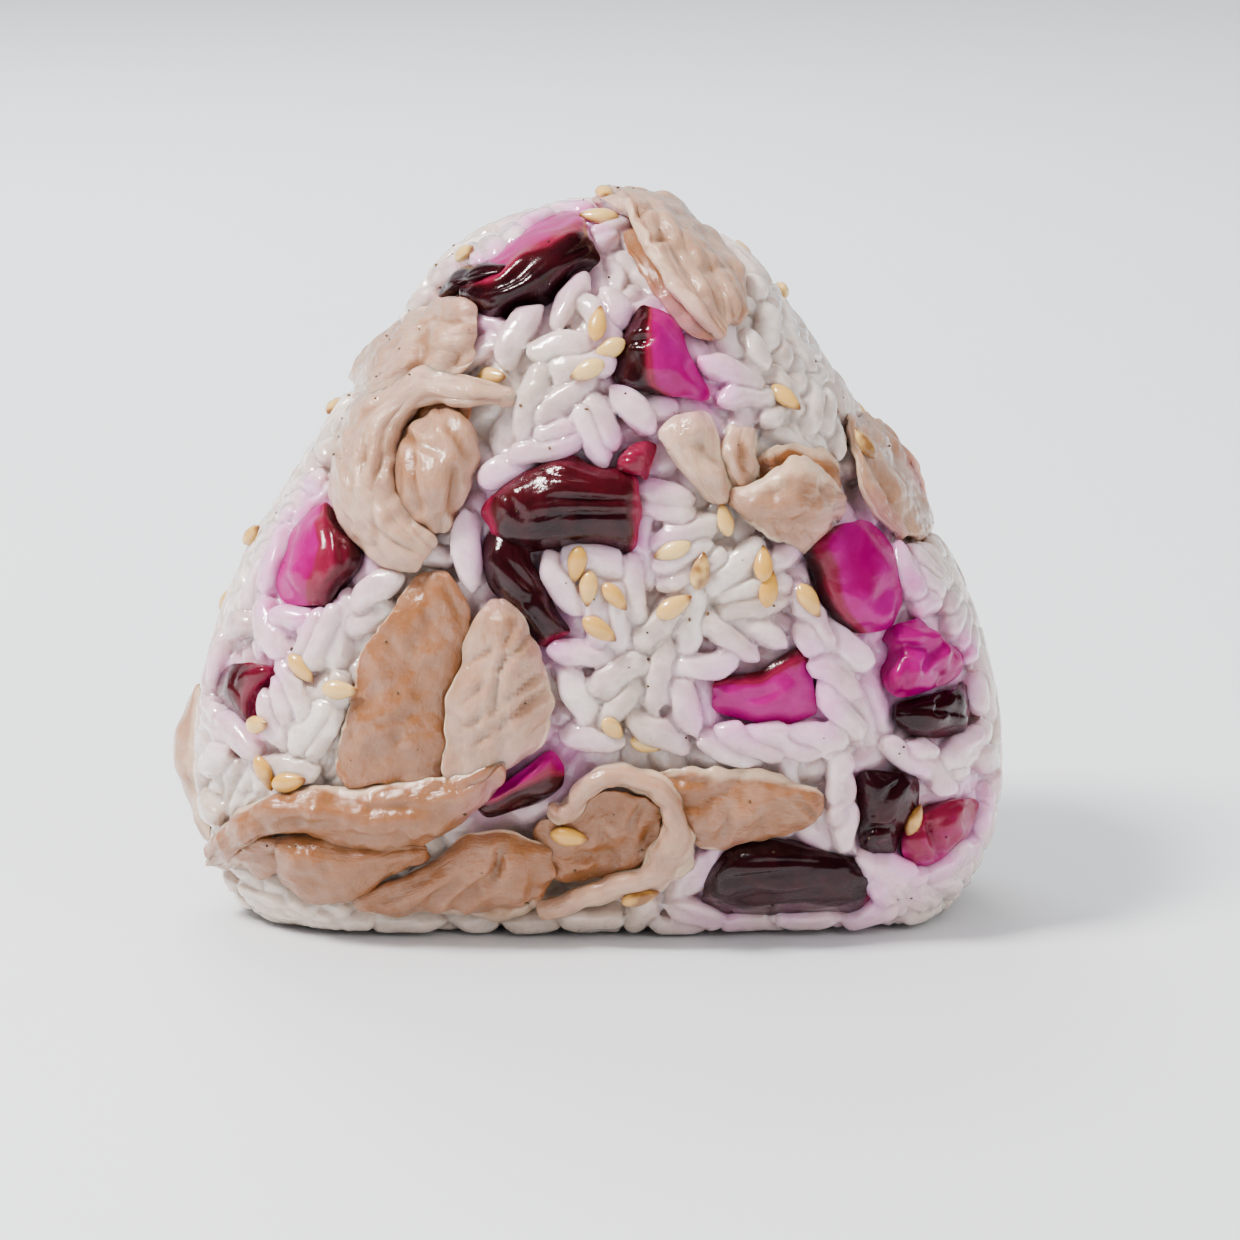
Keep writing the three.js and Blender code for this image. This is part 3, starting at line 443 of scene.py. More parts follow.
class Relief(Enum):
    """How the face of a fold is creased."""

    SMOOTH = "faint dimples"
    VEINS = "creases that fan out from the first end"
    RIDGES = "ridges along the fold"
    PLEATS = "pleats across the fold"


def spine(stations: Rows, t: Array) -> Array:
    """A centripetal Catmull-Rom spline.

    Each stretch is a cubic, whose end slopes come from the stations either side, spaced by the
    square root of their distance.

    Args:
        stations: the points that it goes through.
        t: places from 0 to 1, each stretch taking an equal share.

    Returns:
        The curve's points.
    """
    rough = np.array(stations, float)
    p = np.vstack([2 * rough[0] - rough[1], rough, 2 * rough[-1] - rough[-2]])
    place = np.clip(t, 0, 1) * (len(rough) - 1)
    k = np.minimum(place.astype(int), len(rough) - 2)
    s = (place - k)[..., None]
    p0, p1, p2, p3 = (p[k + i] for i in range(4))
    gaps = [np.sqrt(np.linalg.norm(b - a, axis=-1, keepdims=True))
            for a, b in ((p0, p1), (p1, p2), (p2, p3))]
    chord = (p2 - p1) / gaps[1]
    start = (p1 - p0) / gaps[0] - (p2 - p0) / (gaps[0] + gaps[1]) + chord
    end = chord - (p3 - p1) / (gaps[1] + gaps[2]) + (p3 - p2) / gaps[2]
    start, end = start * gaps[1], end * gaps[1]
    cubic = 2 * (p1 - p2) + start + end
    square = 3 * (p2 - p1) - 2 * start - end
    return p1 + s * (start + s * (square + s * cubic))


def furrows(rows: Rows, seen: Array) -> Array:
    """How deep creases are: each adds depth times exp(-(distance / width)^2), and lips beside it.

    Args:
        rows: across and up at either end of each as seen from the front, then its width and its
            depth, both half a millimetre unless given.
        seen: across and up of the places.

    Returns:
        The depth at each place, below 0 on a lip.
    """
    total = np.zeros(seen.shape[:-1])
    for row in rows:
        start, way = np.array(row[:2]), np.subtract(row[2:4], row[:2])
        width, depth = (*row[4:], 0.5, 0.5)[:2]
        place = np.clip((seen - start) @ way / (way @ way), 0, 1)
        gap = np.linalg.norm(seen - start - place[..., None] * way, axis=-1) / width
        taper = 0.35 + 0.65 * np.sin(math.pi * np.clip(place, 0.08, 0.92))
        total += depth * taper * (np.exp(-gap**2) - 0.35 * np.exp(-((gap - 2) ** 2)))
    return total


@dataclass(frozen=True, kw_only=True)
class Meat:
    """One layer of meat: a closed pillow of even thickness round a sheet of two parameters."""

    relief: Relief = Relief.SMOOTH
    depth: float = 0.2
    thickness: float = 1.25
    rounding: float = 0.12
    ragged: float = 0.05
    creases: Rows = ()
    fat: tuple[float, float] = (0.6, 0.6)
    # How light the layer is; the low tones given to the lower slices and to the under layers are painted
    # shade.
    tone: float = 0.5
    seed: int = 1
    grain: float = 0.3

    def sheet(self, u: Array, v: Array) -> Array:
        """Returns the middle of the thickness at u along it, 0 to 1, and v across, -1 to 1."""
        raise NotImplementedError

    def size(self) -> tuple[float, float]:
        """Measures the sheet.

        Returns:
            Its length and its half width, in mm.
        """
        v, u = np.meshgrid(np.linspace(-1, 1, 9), np.linspace(0, 1, 17))
        points = self.sheet(u, v)
        spans = [np.linalg.norm(np.diff(points, axis=k), axis=-1).sum(k) for k in (0, 1)]
        return float(spans[0].mean()), float(spans[1].max()) / 2

    def crest(self, u: Array, v: Array, points: Array, size: tuple[float, float]) -> Array:
        """The relief of the face, from 0 in a valley to 1 on a crest.

        Args:
            u: places along the fold.
            v: places across it.
            points: the sheet's points.
            size: the sheet's length and half width.

        Returns:
            The relief at each point.
        """
        length, half = size
        warp = 2.2 * ripples(points, 9.0, self.seed + 3)
        if self.relief is Relief.VEINS:
            return creases(TAU * v * half / (1.2 + 1.6 * u) + 0.6 * warp + 3 * u, 0.45)
        if self.relief is Relief.RIDGES:
            return creases(TAU * v * half / 1.9 + warp, 0.5)
        if self.relief is Relief.PLEATS:
            return creases(TAU * u * length / 3.4 + warp + 1.5 * v, 0.5)
        return 0.5 + 0.5 * ripples(points, 6.0, self.seed + 4)

    def shell(self) -> Shell:
        """The meat as a closed pillow round its sheet.

        Half the thickness goes to either side along the sheet's normal, and falls to nothing at
        the edges as the root of 1 - |v|^n.

        Returns:
            The shell, with fields for the pale rim, the painted shade of the creases, the tone and the
            fibres' direction.
        """
        length, half = size = self.size()
        rows, columns = max(20, int(length / self.grain)), max(14, int(2 * half / self.grain))
        u, v = dense_grid(rows, columns, 1.3)
        rough = self.sheet(u, v)
        torn = 1 + self.ragged * min(1, 4.5 / half) * (
            ripples(rough, 4.5, self.seed) + 0.6 * ripples(rough, 1.4, self.seed + 1))
        corner = 1 - self.rounding * np.abs(2 * u - 1) ** 9
        corner_u = 1 - self.rounding * np.abs(v) ** 9
        torn_u = 1 + self.ragged * half / length * 2 * ripples(rough, 3.5, self.seed + 2)
        middle = self.sheet(0.5 + (u - 0.5) * corner_u * torn_u, v * corner * torn)
        out = unit(np.cross(np.gradient(middle, axis=0), np.gradient(middle, axis=1)))
        crest = self.crest(u, v, middle, size)
        fade = 1 - np.abs(v) ** 6
        dimple = 0.22 * ripples(middle, 4.2, self.seed + 7)
        dimple = dimple + 0.12 * ripples(middle, 1.7, self.seed + 8)
        fibre = np.stack([u * length, v * half], -1)
        bent = np.concatenate([fibre * [0.65, 1.0], 0 * u[..., None]], -1) + 0.12 * middle
        crumple = np.abs(ripples(bent, 7.0, self.seed + 5)) ** 0.75
        furrow = furrows(self.creases, VIEW.seen(middle))
        push = (self.depth * (crest - 0.5) + 0.34 * (crumple - 0.6) + dimple - furrow) * fade
        push = push + 0.5 * np.abs(ripples(middle, 5.5, self.seed + 13)) * np.abs(v) ** 3
        middle = middle + out * push[..., None]
        end_power = max(5.0, length / 1.4)
        side_power = max(5.0, half / 0.7)
        rim = np.clip((1 - np.abs(v) ** side_power) * (1 - np.abs(2 * u - 1) ** end_power), 0, 1)
        uneven = 1 + 0.18 * ripples(middle, 6.0, self.seed + 9)
        in_from = (1 - np.abs(v)) * half
        thin = 0.5 + 0.5 * ease(in_from / 2.6)
        half_thick = (self.thickness / 2 * np.sqrt(rim) * uneven * thin)[..., None]
        wander = 0.5 * ripples(middle, 4.0, self.seed + 11)
        fat = np.where(v < 0, *self.fat)
        edge = np.clip(1.6 - in_from / np.maximum(2.2 * fat + wander * fat, 0.05), 0, 1) * (fat > 0)
        # Painted shade: darker in the valleys of the relief, in the crumples and along the furrows.
        shade = (crest * 0.5 + 0.5) * np.minimum(1, 0.45 + 2.2 * crumple) - 1.4 * furrow
        fields = {"rim": edge, "crest": np.clip(shade, 0, 1),
                  "tone": np.full(u.shape, self.tone), "fibre": fibre}
        return Shell.pillow(middle + out * half_thick, middle - out * half_thick, fields)

    def samples(self) -> Array:
        """Spreads points over the sheet, about 1.4 mm apart.

        Returns:
            The points.
        """
        length, half = self.size()
        rows, columns = int(length / 1.4) + 2, int(2 * half / 1.4) + 2
        v, u = np.meshgrid(np.linspace(-1, 1, columns), np.linspace(0, 1, rows))
        return self.sheet(u, v).reshape(-1, 3)


@dataclass(frozen=True, kw_only=True)
class Fold(Meat):
    """A ribbon of meat draped on the body along a spine, with its right-hand edge near."""

    spine: Rows
    width: Stations
    levels: tuple[Stations, Stations, Stations]
    ruffle: float = 0.0
    waves: float = 2.0

    def sheet(self, u: Array, v: Array) -> Array:
        """The middle of the meat's thickness.

        The spine is dropped on the body, the ribbon goes to its sides by v half widths, and its
        level runs from the middle's to the edge's with v squared, plus a wave that grows alike.

        Args:
            u: places along the fold, 0 to 1.
            v: places across, -1 at the near edge and 1 at the far one.

        Returns:
            The points.
        """
        base = BALL.drop(spine(self.spine, u))
        out = BALL.normals(base)
        ends = (spine(self.spine, np.clip(u + step, 0, 1)) for step in (1e-4, -1e-4))
        ahead = unit(np.subtract(*ends))
        ahead = unit(ahead - out * (ahead * out).sum(-1, keepdims=True))
        side = np.cross(out, ahead)
        foot = BALL.drop(base + side * (v * along(self.width, u))[..., None])
        near, middle, far = (along(level, u) for level in self.levels)
        lift = middle * (1 - v * v) + np.where(v < 0, near, far) * v * v
        lift = lift + self.ruffle * v * v * np.sin(TAU * self.waves * u + 2 * v)
        return foot + BALL.normals(foot) * lift[..., None]


def spline_weights(t: Array, count: int) -> tuple[Array, Array]:
    """Shares of control points in a uniform Catmull-Rom spline.

    Args:
        t: places from 0 to 1, and a little past.
        count: how many control points there are.

    Returns:
        Four control points at each place, counted from one before the first, and their shares.
    """
    place = t * (count - 1)
    k = np.clip(np.floor(place), 0, count - 2).astype(int)
    s = place - k
    shares = np.stack([-s + 2 * s**2 - s**3, 2 - 5 * s**2 + 3 * s**3,
                       s + 4 * s**2 - 3 * s**3, -(s**2) + s**3], -1) / 2
    return k[..., None] + np.arange(4), shares


@dataclass(frozen=True, kw_only=True)
class Between:
    """A surface between two edge lines, held apart by rungs.

    A rung gives across and up of its near and its far end as seen from the front, and the levels
    over the body of its near end, its middle and its far end.
    """

    rungs: Rows
    behind: Stations = 0.0
    domed: float = 2.0
    columns: int = 7

    def sheet(self, u: Array, v: Array) -> Array:
        """The surface's points.

        A net of control points lies straight between the edges as they are seen. Its level over
        the body runs from the middle's to the edge's with |v| to the power domed, and behind the
        outline it goes back along the line of sight with the square of its share of the way
        across. Catmull-Rom splines go through it both ways.

        Args:
            u: places along the edges, 0 to 1.
            v: places across, -1 at the near edge and 1 at the far one.

        Returns:
            The points.
        """
        near, far, levels = np.hsplit(np.array(self.rungs, float), (2, 4))
        across, down = np.meshgrid(np.linspace(-1, 1, self.columns), np.linspace(0, 1, len(near)))
        share = (across + 1) / 2
        seen = near[:, None] + (far - near)[:, None] * share[..., None]
        low, middle, high = (along(level, down) for level in levels.T)
        bend = np.abs(across) ** self.domed
        level = middle * (1 - bend) + np.where(across < 0, low, high) * bend
        back = along(self.behind, down) * share**2
        net = VIEW.places(np.concatenate([seen, np.stack([level, back], -1)], -1))
        net = np.concatenate([2 * net[:1] - net[1:2], net, 2 * net[-1:] - net[-2:-1]])
        net = np.concatenate([2 * net[:, :1] - net[:, 1:2], net,
                              2 * net[:, -1:] - net[:, -2:-1]], 1)
        i, share_u = spline_weights(u, len(near))
        j, share_v = spline_weights((v + 1) / 2, self.columns)
        corners = net[i[..., :, None], j[..., None, :]]
        return np.einsum("...i,...j,...ijk->...k", share_u, share_v, corners)


@dataclass(frozen=True, kw_only=True)
class Patch(Between, Meat):
    """A sheet of meat between two edge lines."""


@dataclass(frozen=True)
class PorkSlice:
    """One slice of pork, of one or more layers."""

    node: str
    layers: tuple[Meat, ...]

    def build(self, stain: "Stain", finish: Material) -> Object:
        """Makes the piece that stands for the slice's node.

        Args:
            stain: where pickle juice tints what it touches.
            finish: the pork's material.

        Returns:
            The piece.
        """
        shell = Shell.joined([layer.shell() for layer in self.layers])
        shell.fields["stain"] = stain.at(shell.points)
        return place_piece(shell.to_object(f"{self.node}_slice", finish), "pork", self.node)


def place_piece(piece: Object, slot: str, *nodes: str) -> Object:
    """Ties a piece to the model.

    Args:
        piece: the finished object.
        slot: a material slot's name, or nothing; not used.
        nodes: the CAD nodes that it stands for.

    Returns:
        The piece.
    """
    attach(piece, BODY)
    if nodes:
        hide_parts(*nodes)
    triangles = sum(len(face.vertices) - 2 for face in piece.data.polygons)
    log.info("%s: %d triangles", piece.name, triangles)
    return piece


# ---- Pickled eggplant chunks ----


class End(Enum):
    """How a chunk ends: the value is the power that rounds its outline."""

    CUT = 0.28
    TIP = 0.85


@dataclass(frozen=True, kw_only=True)
class PicklePiece:
    """A piece of pickled eggplant that is sunk in the rice."""

    node: str
    seed: int

    def shell(self) -> Shell:
        """Returns the closed surface, with a field that is 1 on skin and 0 on flesh."""
        raise NotImplementedError

    def build(self, shell: Shell, finish: Material) -> Object:
        """Makes the object that stands for the piece's node, from its shell."""
        return place_piece(shell.to_object(f"{self.node}_chunk", finish), "pickle", self.node)


@dataclass(frozen=True, kw_only=True)
class PickleWedge(Between, PicklePiece):
    """A wedge whose outer face lies between two edge lines, with its back sunk in the rice."""

    thick: float = 4.0
    skin: Stations = 1.0
    cut_ends: tuple[bool, bool] = (False, False)
    domed: float = 2.6
    creases: Rows = ()
    crumple: float = 0.0

    def shell(self) -> Shell:
        """The wedge as a closed pillow: its outer face, and the same sunk below it.

        The skin has fine wrinkles along it and the flesh soft bumps. The sunken side lies deeper
        by the thickness times (1 - |v|^4) (1 - |2u - 1|^4).

        Returns:
            The shell, with a field that is 1 on skin.
        """
        u, v = dense_grid(48, 40, 1.35)
        torn = 1 + 0.035 * ripples(self.sheet(u, v), 3.5, self.seed)
        corner_u, corner_v = 1 - 0.1 * np.abs(v) ** 7, 1 - 0.1 * np.abs(2 * u - 1) ** 7
        top = self.sheet(0.5 + (u - 0.5) * corner_u * torn, v * corner_v * torn)
        out = unit(np.cross(np.gradient(top, axis=0), np.gradient(top, axis=1)))
        furrow = furrows(self.creases, VIEW.seen(top))
        from_end = np.where(u < 0.5, u, 1 - u)
        skinned = np.where(np.where(u < 0.5, *self.cut_ends), ease(from_end / 0.14), 1.0)
        skin = along(self.skin, (v + 1) / 2)
        skin = np.minimum(skin, 0.48 + 0.52 * skinned)
        warp = ripples(top, 4.2, self.seed)
        lines = creases(v * 8 + 2.6 * warp + 1.3 * u, 0.35)
        cross = creases(u * 11 + 3.2 * warp, 0.5)
        on_skin = ease((skin - 0.35) / 0.4)
        wrinkle = 0.15 * (lines - 0.8) + 0.07 * (cross - 0.8)
        bumps = (0.1 + 0.5 * self.crumple) * ripples(top, 2.4, self.seed + 1)
        lump = (0.22 + self.crumple) * ripples(top, 4.6, self.seed + 2)
        fade = (1 - v**6) * (1 - (2 * u - 1) ** 6)
        top = top + out * (fade * (on_skin * wrinkle + (1 - on_skin) * bumps + lump
                                   - furrow))[..., None]
        sunk = self.thick * (1 - v**4) * (1 - (2 * u - 1) ** 4)
        bottom = top - BALL.normals(top) * (0.35 + sunk)[..., None] * fade[..., None] ** 0.3
        return Shell.pillow(top, bottom, {"skin": skin})


@dataclass(frozen=True, kw_only=True)
class PickleChunk(PicklePiece):
    """A stub of a tapering stem with a rounded skin side and a flat cut side."""

    at: Place
    turn: float
    length: float
    width: float
    thick: float
    top: float
    stand: float = 0.0
    roll: float = 0.0
    taper: float = 0.25
    cut: float = 0.45
    ends: tuple[End, End] = (End.CUT, End.CUT)
    skinned: tuple[bool, bool] = (False, False)
    rings: int = 44
    around: int = 56

    def profile(self) -> tuple[Array, Array]:
        """The outline from end to end, as points spread evenly over a superellipse.

        Its place is |sin|^p and its width |cos|^p of one angle, with p small for a cut end.

        Returns:
            Places along the axis from -1 to 1, and the share of the full width at each.
        """
        angle = np.linspace(-math.pi / 2, math.pi / 2, 4001)
        power = np.where(angle < 0, self.ends[0].value, self.ends[1].value)
        place = np.sign(angle) * np.abs(np.sin(angle)) ** power
        wide = np.abs(np.cos(angle)) ** power
        step = np.hypot(np.diff(place) * self.length, np.diff(wide) * self.width)
        path = np.concatenate([[0], np.cumsum(step)])
        even = np.linspace(0, path[-1], self.rings + 2)
        return np.interp(even, path, place), np.interp(even, path, wide)

    def shell(self) -> Shell:
        """The chunk as a closed ball of points.

        Its section is a circle whose lower part is cut flat, scaled by the profile and swollen
        in the middle. The skin has fine wrinkles along it and the flesh soft bumps.

        Returns:
            The shell, with a field that is 1 on skin.
        """
        place, wide = (p[1:-1, None] for p in self.profile())
        angle = (np.arange(self.around) / self.around * TAU)[None] + 0 * place
        level = np.maximum(np.sin(angle), -self.cut) + ((1 - self.cut) / 2 if self.cut < 1 else 0)
        swell = 1 - self.taper * np.abs(place) ** 2.5
        flat = np.stack([place * self.length / 2 + 0 * angle,
                         np.cos(angle) * self.width / 2 * swell * wide,
                         level * self.thick / 2 * swell * wide], -1)
        on_side = ease((np.sin(angle) + self.cut - 0.03) / 0.16) if self.cut < 1 else 1 + 0 * angle
        end_skin = np.where(place < 0, *(float(s) for s in self.skinned))
        on_end = ease((0.93 - wide) / 0.1) + 0 * angle
        skin = on_side * (1 - on_end) + on_side * on_end * end_skin
        spread = flat + 17.0 * self.seed
        warp = ripples(spread * [0.35, 1, 1], 3.6, self.seed)
        lines = creases(angle * 11 + 2.6 * warp + 1.3 * place, 0.45)
        cross = creases(TAU * place * self.length / 2 / 2.6 + 2.4 * warp, 0.5)
        wrinkle = 0.34 * (lines - 0.8) + 0.16 * (cross - 0.8)
        bumps = 0.24 * ripples(spread, 2.6, self.seed + 1)
        lump = 0.3 * ripples(spread, 4.6, self.seed + 2)
        push = skin * wrinkle + (1 - skin) * bumps + lump
        outward = unit(flat * [0.35, 1, 1])
        flat = flat + outward * (push * np.minimum(1, 3 * wide))[..., None]
        pole = [[self.length / 2, 0, 0]]
        points = np.concatenate([np.negative(pole), flat.reshape(-1, 3), pole])
        roll, stand = math.radians(-self.roll), math.radians(-self.stand)
        tilt = Matrix.Rotation(stand, 3, "Y") @ Matrix.Rotation(roll, 3, "X")
        points = points @ np.array(tilt).T
        points[:, 2] += self.top - points[:, 2].max()
        anchor = BALL.drop(np.array(self.at, float))
        right, up, out = BALL.directions(anchor)
        turn = math.radians(self.turn)
        ahead = right * math.cos(turn) + up * math.sin(turn)
        basis = np.stack([ahead, np.cross(out, ahead), out], 1)
        skin = np.concatenate([skin[:1, 0], skin.ravel(), skin[-1:, 0]])
        return Shell.balls((points @ basis.T + anchor)[None], self.around, {"skin": skin})


@dataclass(frozen=True)
class Stain:
    """Pickle juice that has soaked into what lies beside the chunks."""

    sources: Array
    strengths: Array
    spread: float = 3.5

    @staticmethod
    def of(shells: list[Shell], every: int = 37) -> "Stain":
        """Makes the stain of chunks, whose flesh stains more than their skin.

        Args:
            shells: the chunks.
            every: one of so many points gives juice.

        Returns:
            The stain.
        """
        points = np.concatenate([s.points[::every] for s in shells])
        skin = np.concatenate([s.fields["skin"][::every] for s in shells])
        return Stain(points, 1 - 0.45 * np.clip(skin, 0, 1))

    def at(self, points: Array) -> Array:
        """Returns the stain at points: the most of strength times exp(-(distance / spread)^1.4)."""
        return in_parts(lambda part: (self.strengths * np.exp(
            -((distances(part, self.sources) / self.spread) ** 1.4))).max(1), points)


def distances(a: Array, b: Array) -> Array:
    """Returns the distance from each point of a to each point of b."""
    square = (a * a).sum(1)[:, None] + (b * b).sum(1)[None] - 2 * a @ b.T
    return np.sqrt(np.maximum(square, 0))


# ---- Rice ----


@dataclass
class Grains:
    """Grains as rods: two ends of the straight middle line, and a radius."""

    ends: Array
    radii: Array

    def near(self, points: Array, count: int = 10) -> Array:
        """Finds the grains whose middles are nearest.

        Args:
            points: places in mm.
            count: how many grains each gets.

        Returns:
            The grains' numbers, a row for each point.
        """
        middles = self.ends.mean(1)
        return in_parts(lambda part: np.argpartition(distances(part, middles), count, 1)[:, :count],
                        points)

    def gaps(self, points: Array, near: Array) -> Array:
        """Measures how far points are from grains: the distance to a rod, less its radius.

        Args:
            points: places in mm.
            near: the numbers of some grains for each.

        Returns:
            The distances, below 0 inside a grain.
        """
        first, way = self.ends[near, 0], self.ends[near, 1] - self.ends[near, 0]
        offset = points[:, None] - first
        place = np.clip((offset * way).sum(-1) / (way * way).sum(-1), 0, 1)
        return np.linalg.norm(offset - way * place[..., None], axis=-1) - self.radii[near]


@dataclass(frozen=True)
class GrainBed:
    """Packs cooked grains over the body in a loose outer and a deeper inner layer."""

    length: float = 7.5
    radius: float = 1.58
    squash: float = 0.86
    outer_spacing: float = 2.6
    inner_spacing: float = 2.9
    outer_levels: tuple[float, float] = (-0.05, 0.95)
    inner_levels: tuple[float, float] = (-1.5, -0.5)
    throws: int = 60_000
    thrown_over: Place = (45.0, 26.0, 40.0)
    pair_reach: float = 9.0
    cover_reach: float = 7.0
    sunk_limit: float = 1.1
    rounds: int = 80
    seed: int = 11

    def pressed(self, points: Array, low: Array, high: Array) -> Array:
        """Brings points back between two levels, and a grain's radius over the flat base.

        Args:
            points: places in mm.
            low: the lowest level of each.
            high: the highest level of each.

        Returns:
            The moved places.
        """
        moved = BALL.lifted(points, lambda level: np.clip(level, low, high))
        floor = self.radius * 0.9 + (low < -1) * 1.2
        moved[..., 2] = np.maximum(moved[..., 2], floor)
        return moved

    def scattered(self, draw: np.random.Generator, spacing: float, level: float) -> Array:
        """Throws middles over the closed body, each well clear of those before it.

        Args:
            draw: the seeded draw.
            spacing: the least distance between middles.
            level: their level over the surface.

        Returns:
            The middles.
        """
        rough = draw.uniform(-1, 1, (self.throws, 3)) * self.thrown_over + BALL.middle
        offset = rough - BALL.middle
        closed = np.maximum(BALL.reach(offset), -offset[:, 2] / BALL.middle_height)
        rough = rough[np.abs(closed - 1) < 0.02]
        thrown = self.pressed(rough, *np.full((2, len(rough)), level))
        kept = np.empty((0, 3))
        for point in thrown:
            if len(kept) == 0 or ((kept - point) ** 2).sum(1).min() > spacing**2:
                kept = np.vstack([kept, point])
        return kept

    def settle(self, covers: Array, cover_radii: Array) -> Grains:
        """Lays both layers and lets the grains push each other apart and away from the toppings.

        Each round moves every pair of near rods by half of their overlap each and rods off the
        covers, brings the ends back between their layer's levels and gives rods their length
        again.

        Args:
            covers: points in the toppings.
            cover_radii: how thick the topping is round each.

        Returns:
            The grains that lie free.
        """
        draw = np.random.default_rng(self.seed)
        outer = self.scattered(draw, self.outer_spacing, 0.3)
        inner = self.scattered(draw, self.inner_spacing, -1.5)
        middles = np.concatenate([outer, inner])
        deep = np.arange(len(middles)) >= len(outer)
        open_ground = (distances(middles, covers) - cover_radii).min(1) > np.where(deep, -0.8, -0.3)
        middles, deep = middles[open_ground], deep[open_ground]
        count = len(middles)
        right, up, out = BALL.directions(middles)
        swirl = 2.4 * ripples(middles, 22.0, self.seed + 1)
        turn, lean = swirl + draw.normal(0, 1.15, count), draw.normal(0, 0.2, count)
        lean = np.where(draw.random(count) < 0.1, 2.6 * lean, lean)
        flat = right * np.cos(turn)[:, None] + up * np.sin(turn)[:, None]
        axis = flat * np.cos(lean)[:, None] + out * np.sin(lean)[:, None]
        radii = self.radius * draw.uniform(0.9, 1.07, count)
        halves = self.length / 2 * draw.uniform(0.86, 1.13, count) - radii
        halves = np.where(draw.random(count) < 0.07, 0.45 * halves, halves)
        ends = middles[:, None] + axis[:, None] * (halves[:, None] * [-1, 1])[..., None]
        low, high = np.where(deep[:, None], self.inner_levels, self.outer_levels).T[..., None]
        for step in range(self.rounds):
            if step % 10 == 0:
                middles = ends.mean(1)
                near = np.argwhere(np.triu(distances(middles, middles) < self.pair_reach, 1))
                by_cover = np.argwhere(distances(middles, covers) < cover_radii + self.cover_reach)
            moves, touches = np.zeros_like(ends), np.full((count, 1, 1), 1e-6)
            i, j = near.T
            s, t, gap = closest(ends[i], ends[j])
            self.push(moves, touches, i, s, gap, self.squash * (radii[i] + radii[j]), 0.5)
            self.push(moves, touches, j, t, -gap, self.squash * (radii[i] + radii[j]), 0.5)
            i, j = by_cover.T
            posts = np.repeat(covers[j][:, None], 2, 1)
            s, _, gap = closest(ends[i], posts)
            self.push(moves, touches, i, s, gap, radii[i] * 0.75 + cover_radii[j], 1.0)
            ends = ends + moves / np.maximum(1, 0.6 * touches)
            ends = self.pressed(ends, low, high)
            centre, half = ends.mean(1), (ends[:, 1] - ends[:, 0]) / 2
            half = unit(half) * halves[:, None]
            ends = np.stack([centre - half, centre + half], 1)
        i, j = by_cover.T
        _, _, gap = closest(ends[i], np.repeat(covers[j][:, None], 2, 1))
        sunk = radii[i] + cover_radii[j] - np.linalg.norm(gap, axis=-1)
        worst = np.zeros(count)
        np.maximum.at(worst, i, sunk)
        free = worst < self.sunk_limit
        return Grains(ends[free], radii[free])

    @staticmethod
    def push(moves: Array, touches: Array, rods: Array, place: Array, gap: Array, wanted: Array,
             share: float) -> None:
        """Adds the moves that take rods out of what they overlap.

        Args:
            moves: the sum of moves of each rod's two ends, which is added to.
            touches: the count of each rod's touches, which is added to.
            rods: the rod of each pair.
            place: where along it the closest point is, 0 to 1.
            gap: the way to it from the other thing.
            wanted: how far apart they should be.
            share: this rod's part of the move.
        """
        distance = np.linalg.norm(gap, axis=-1)
        depth = np.maximum(0, wanted - distance)
        hit = depth > 0
        step = unit(gap[hit]) * (share * depth[hit])[:, None]
        weights = np.stack([1 - place[hit], place[hit]], 1)
        weights = weights / (weights**2).sum(1, keepdims=True)
        np.add.at(moves, rods[hit], weights[..., None] * step[:, None])
        np.add.at(touches, rods[hit], np.ones((int(hit.sum()), 1, 1)))


def dot(a: Array, b: Array) -> Array:
    """Returns the dot products of pairs of vectors."""
    return (a * b).sum(-1)


def closest(a: Array, b: Array) -> tuple[Array, Array, Array]:
    """Closest points of pairs of straight lines.

    The answer for endless lines is clamped to the first line's ends, solved again for the second
    line, clamped, and once more for the first.

    Args:
        a: the first lines, as pairs of ends.
        b: the second lines.

    Returns:
        Places along both from 0 to 1, and the way from b to a there.
    """
    way_a, way_b, between = a[:, 1] - a[:, 0], b[:, 1] - b[:, 0], a[:, 0] - b[:, 0]
    aa, bb = dot(way_a, way_a) + 1e-9, dot(way_b, way_b) + 1e-9
    ab, ar, br = dot(way_a, way_b), dot(way_a, between), dot(way_b, between)
    s = np.clip((ab * br - ar * bb) / np.maximum(aa * bb - ab * ab, 1e-6), 0, 1)
    t = np.clip((ab * s + br) / bb, 0, 1)
    s = np.clip((ab * t - ar) / aa, 0, 1)
    gap = between + way_a * s[:, None] - way_b * t[:, None]
    return s, t, gap


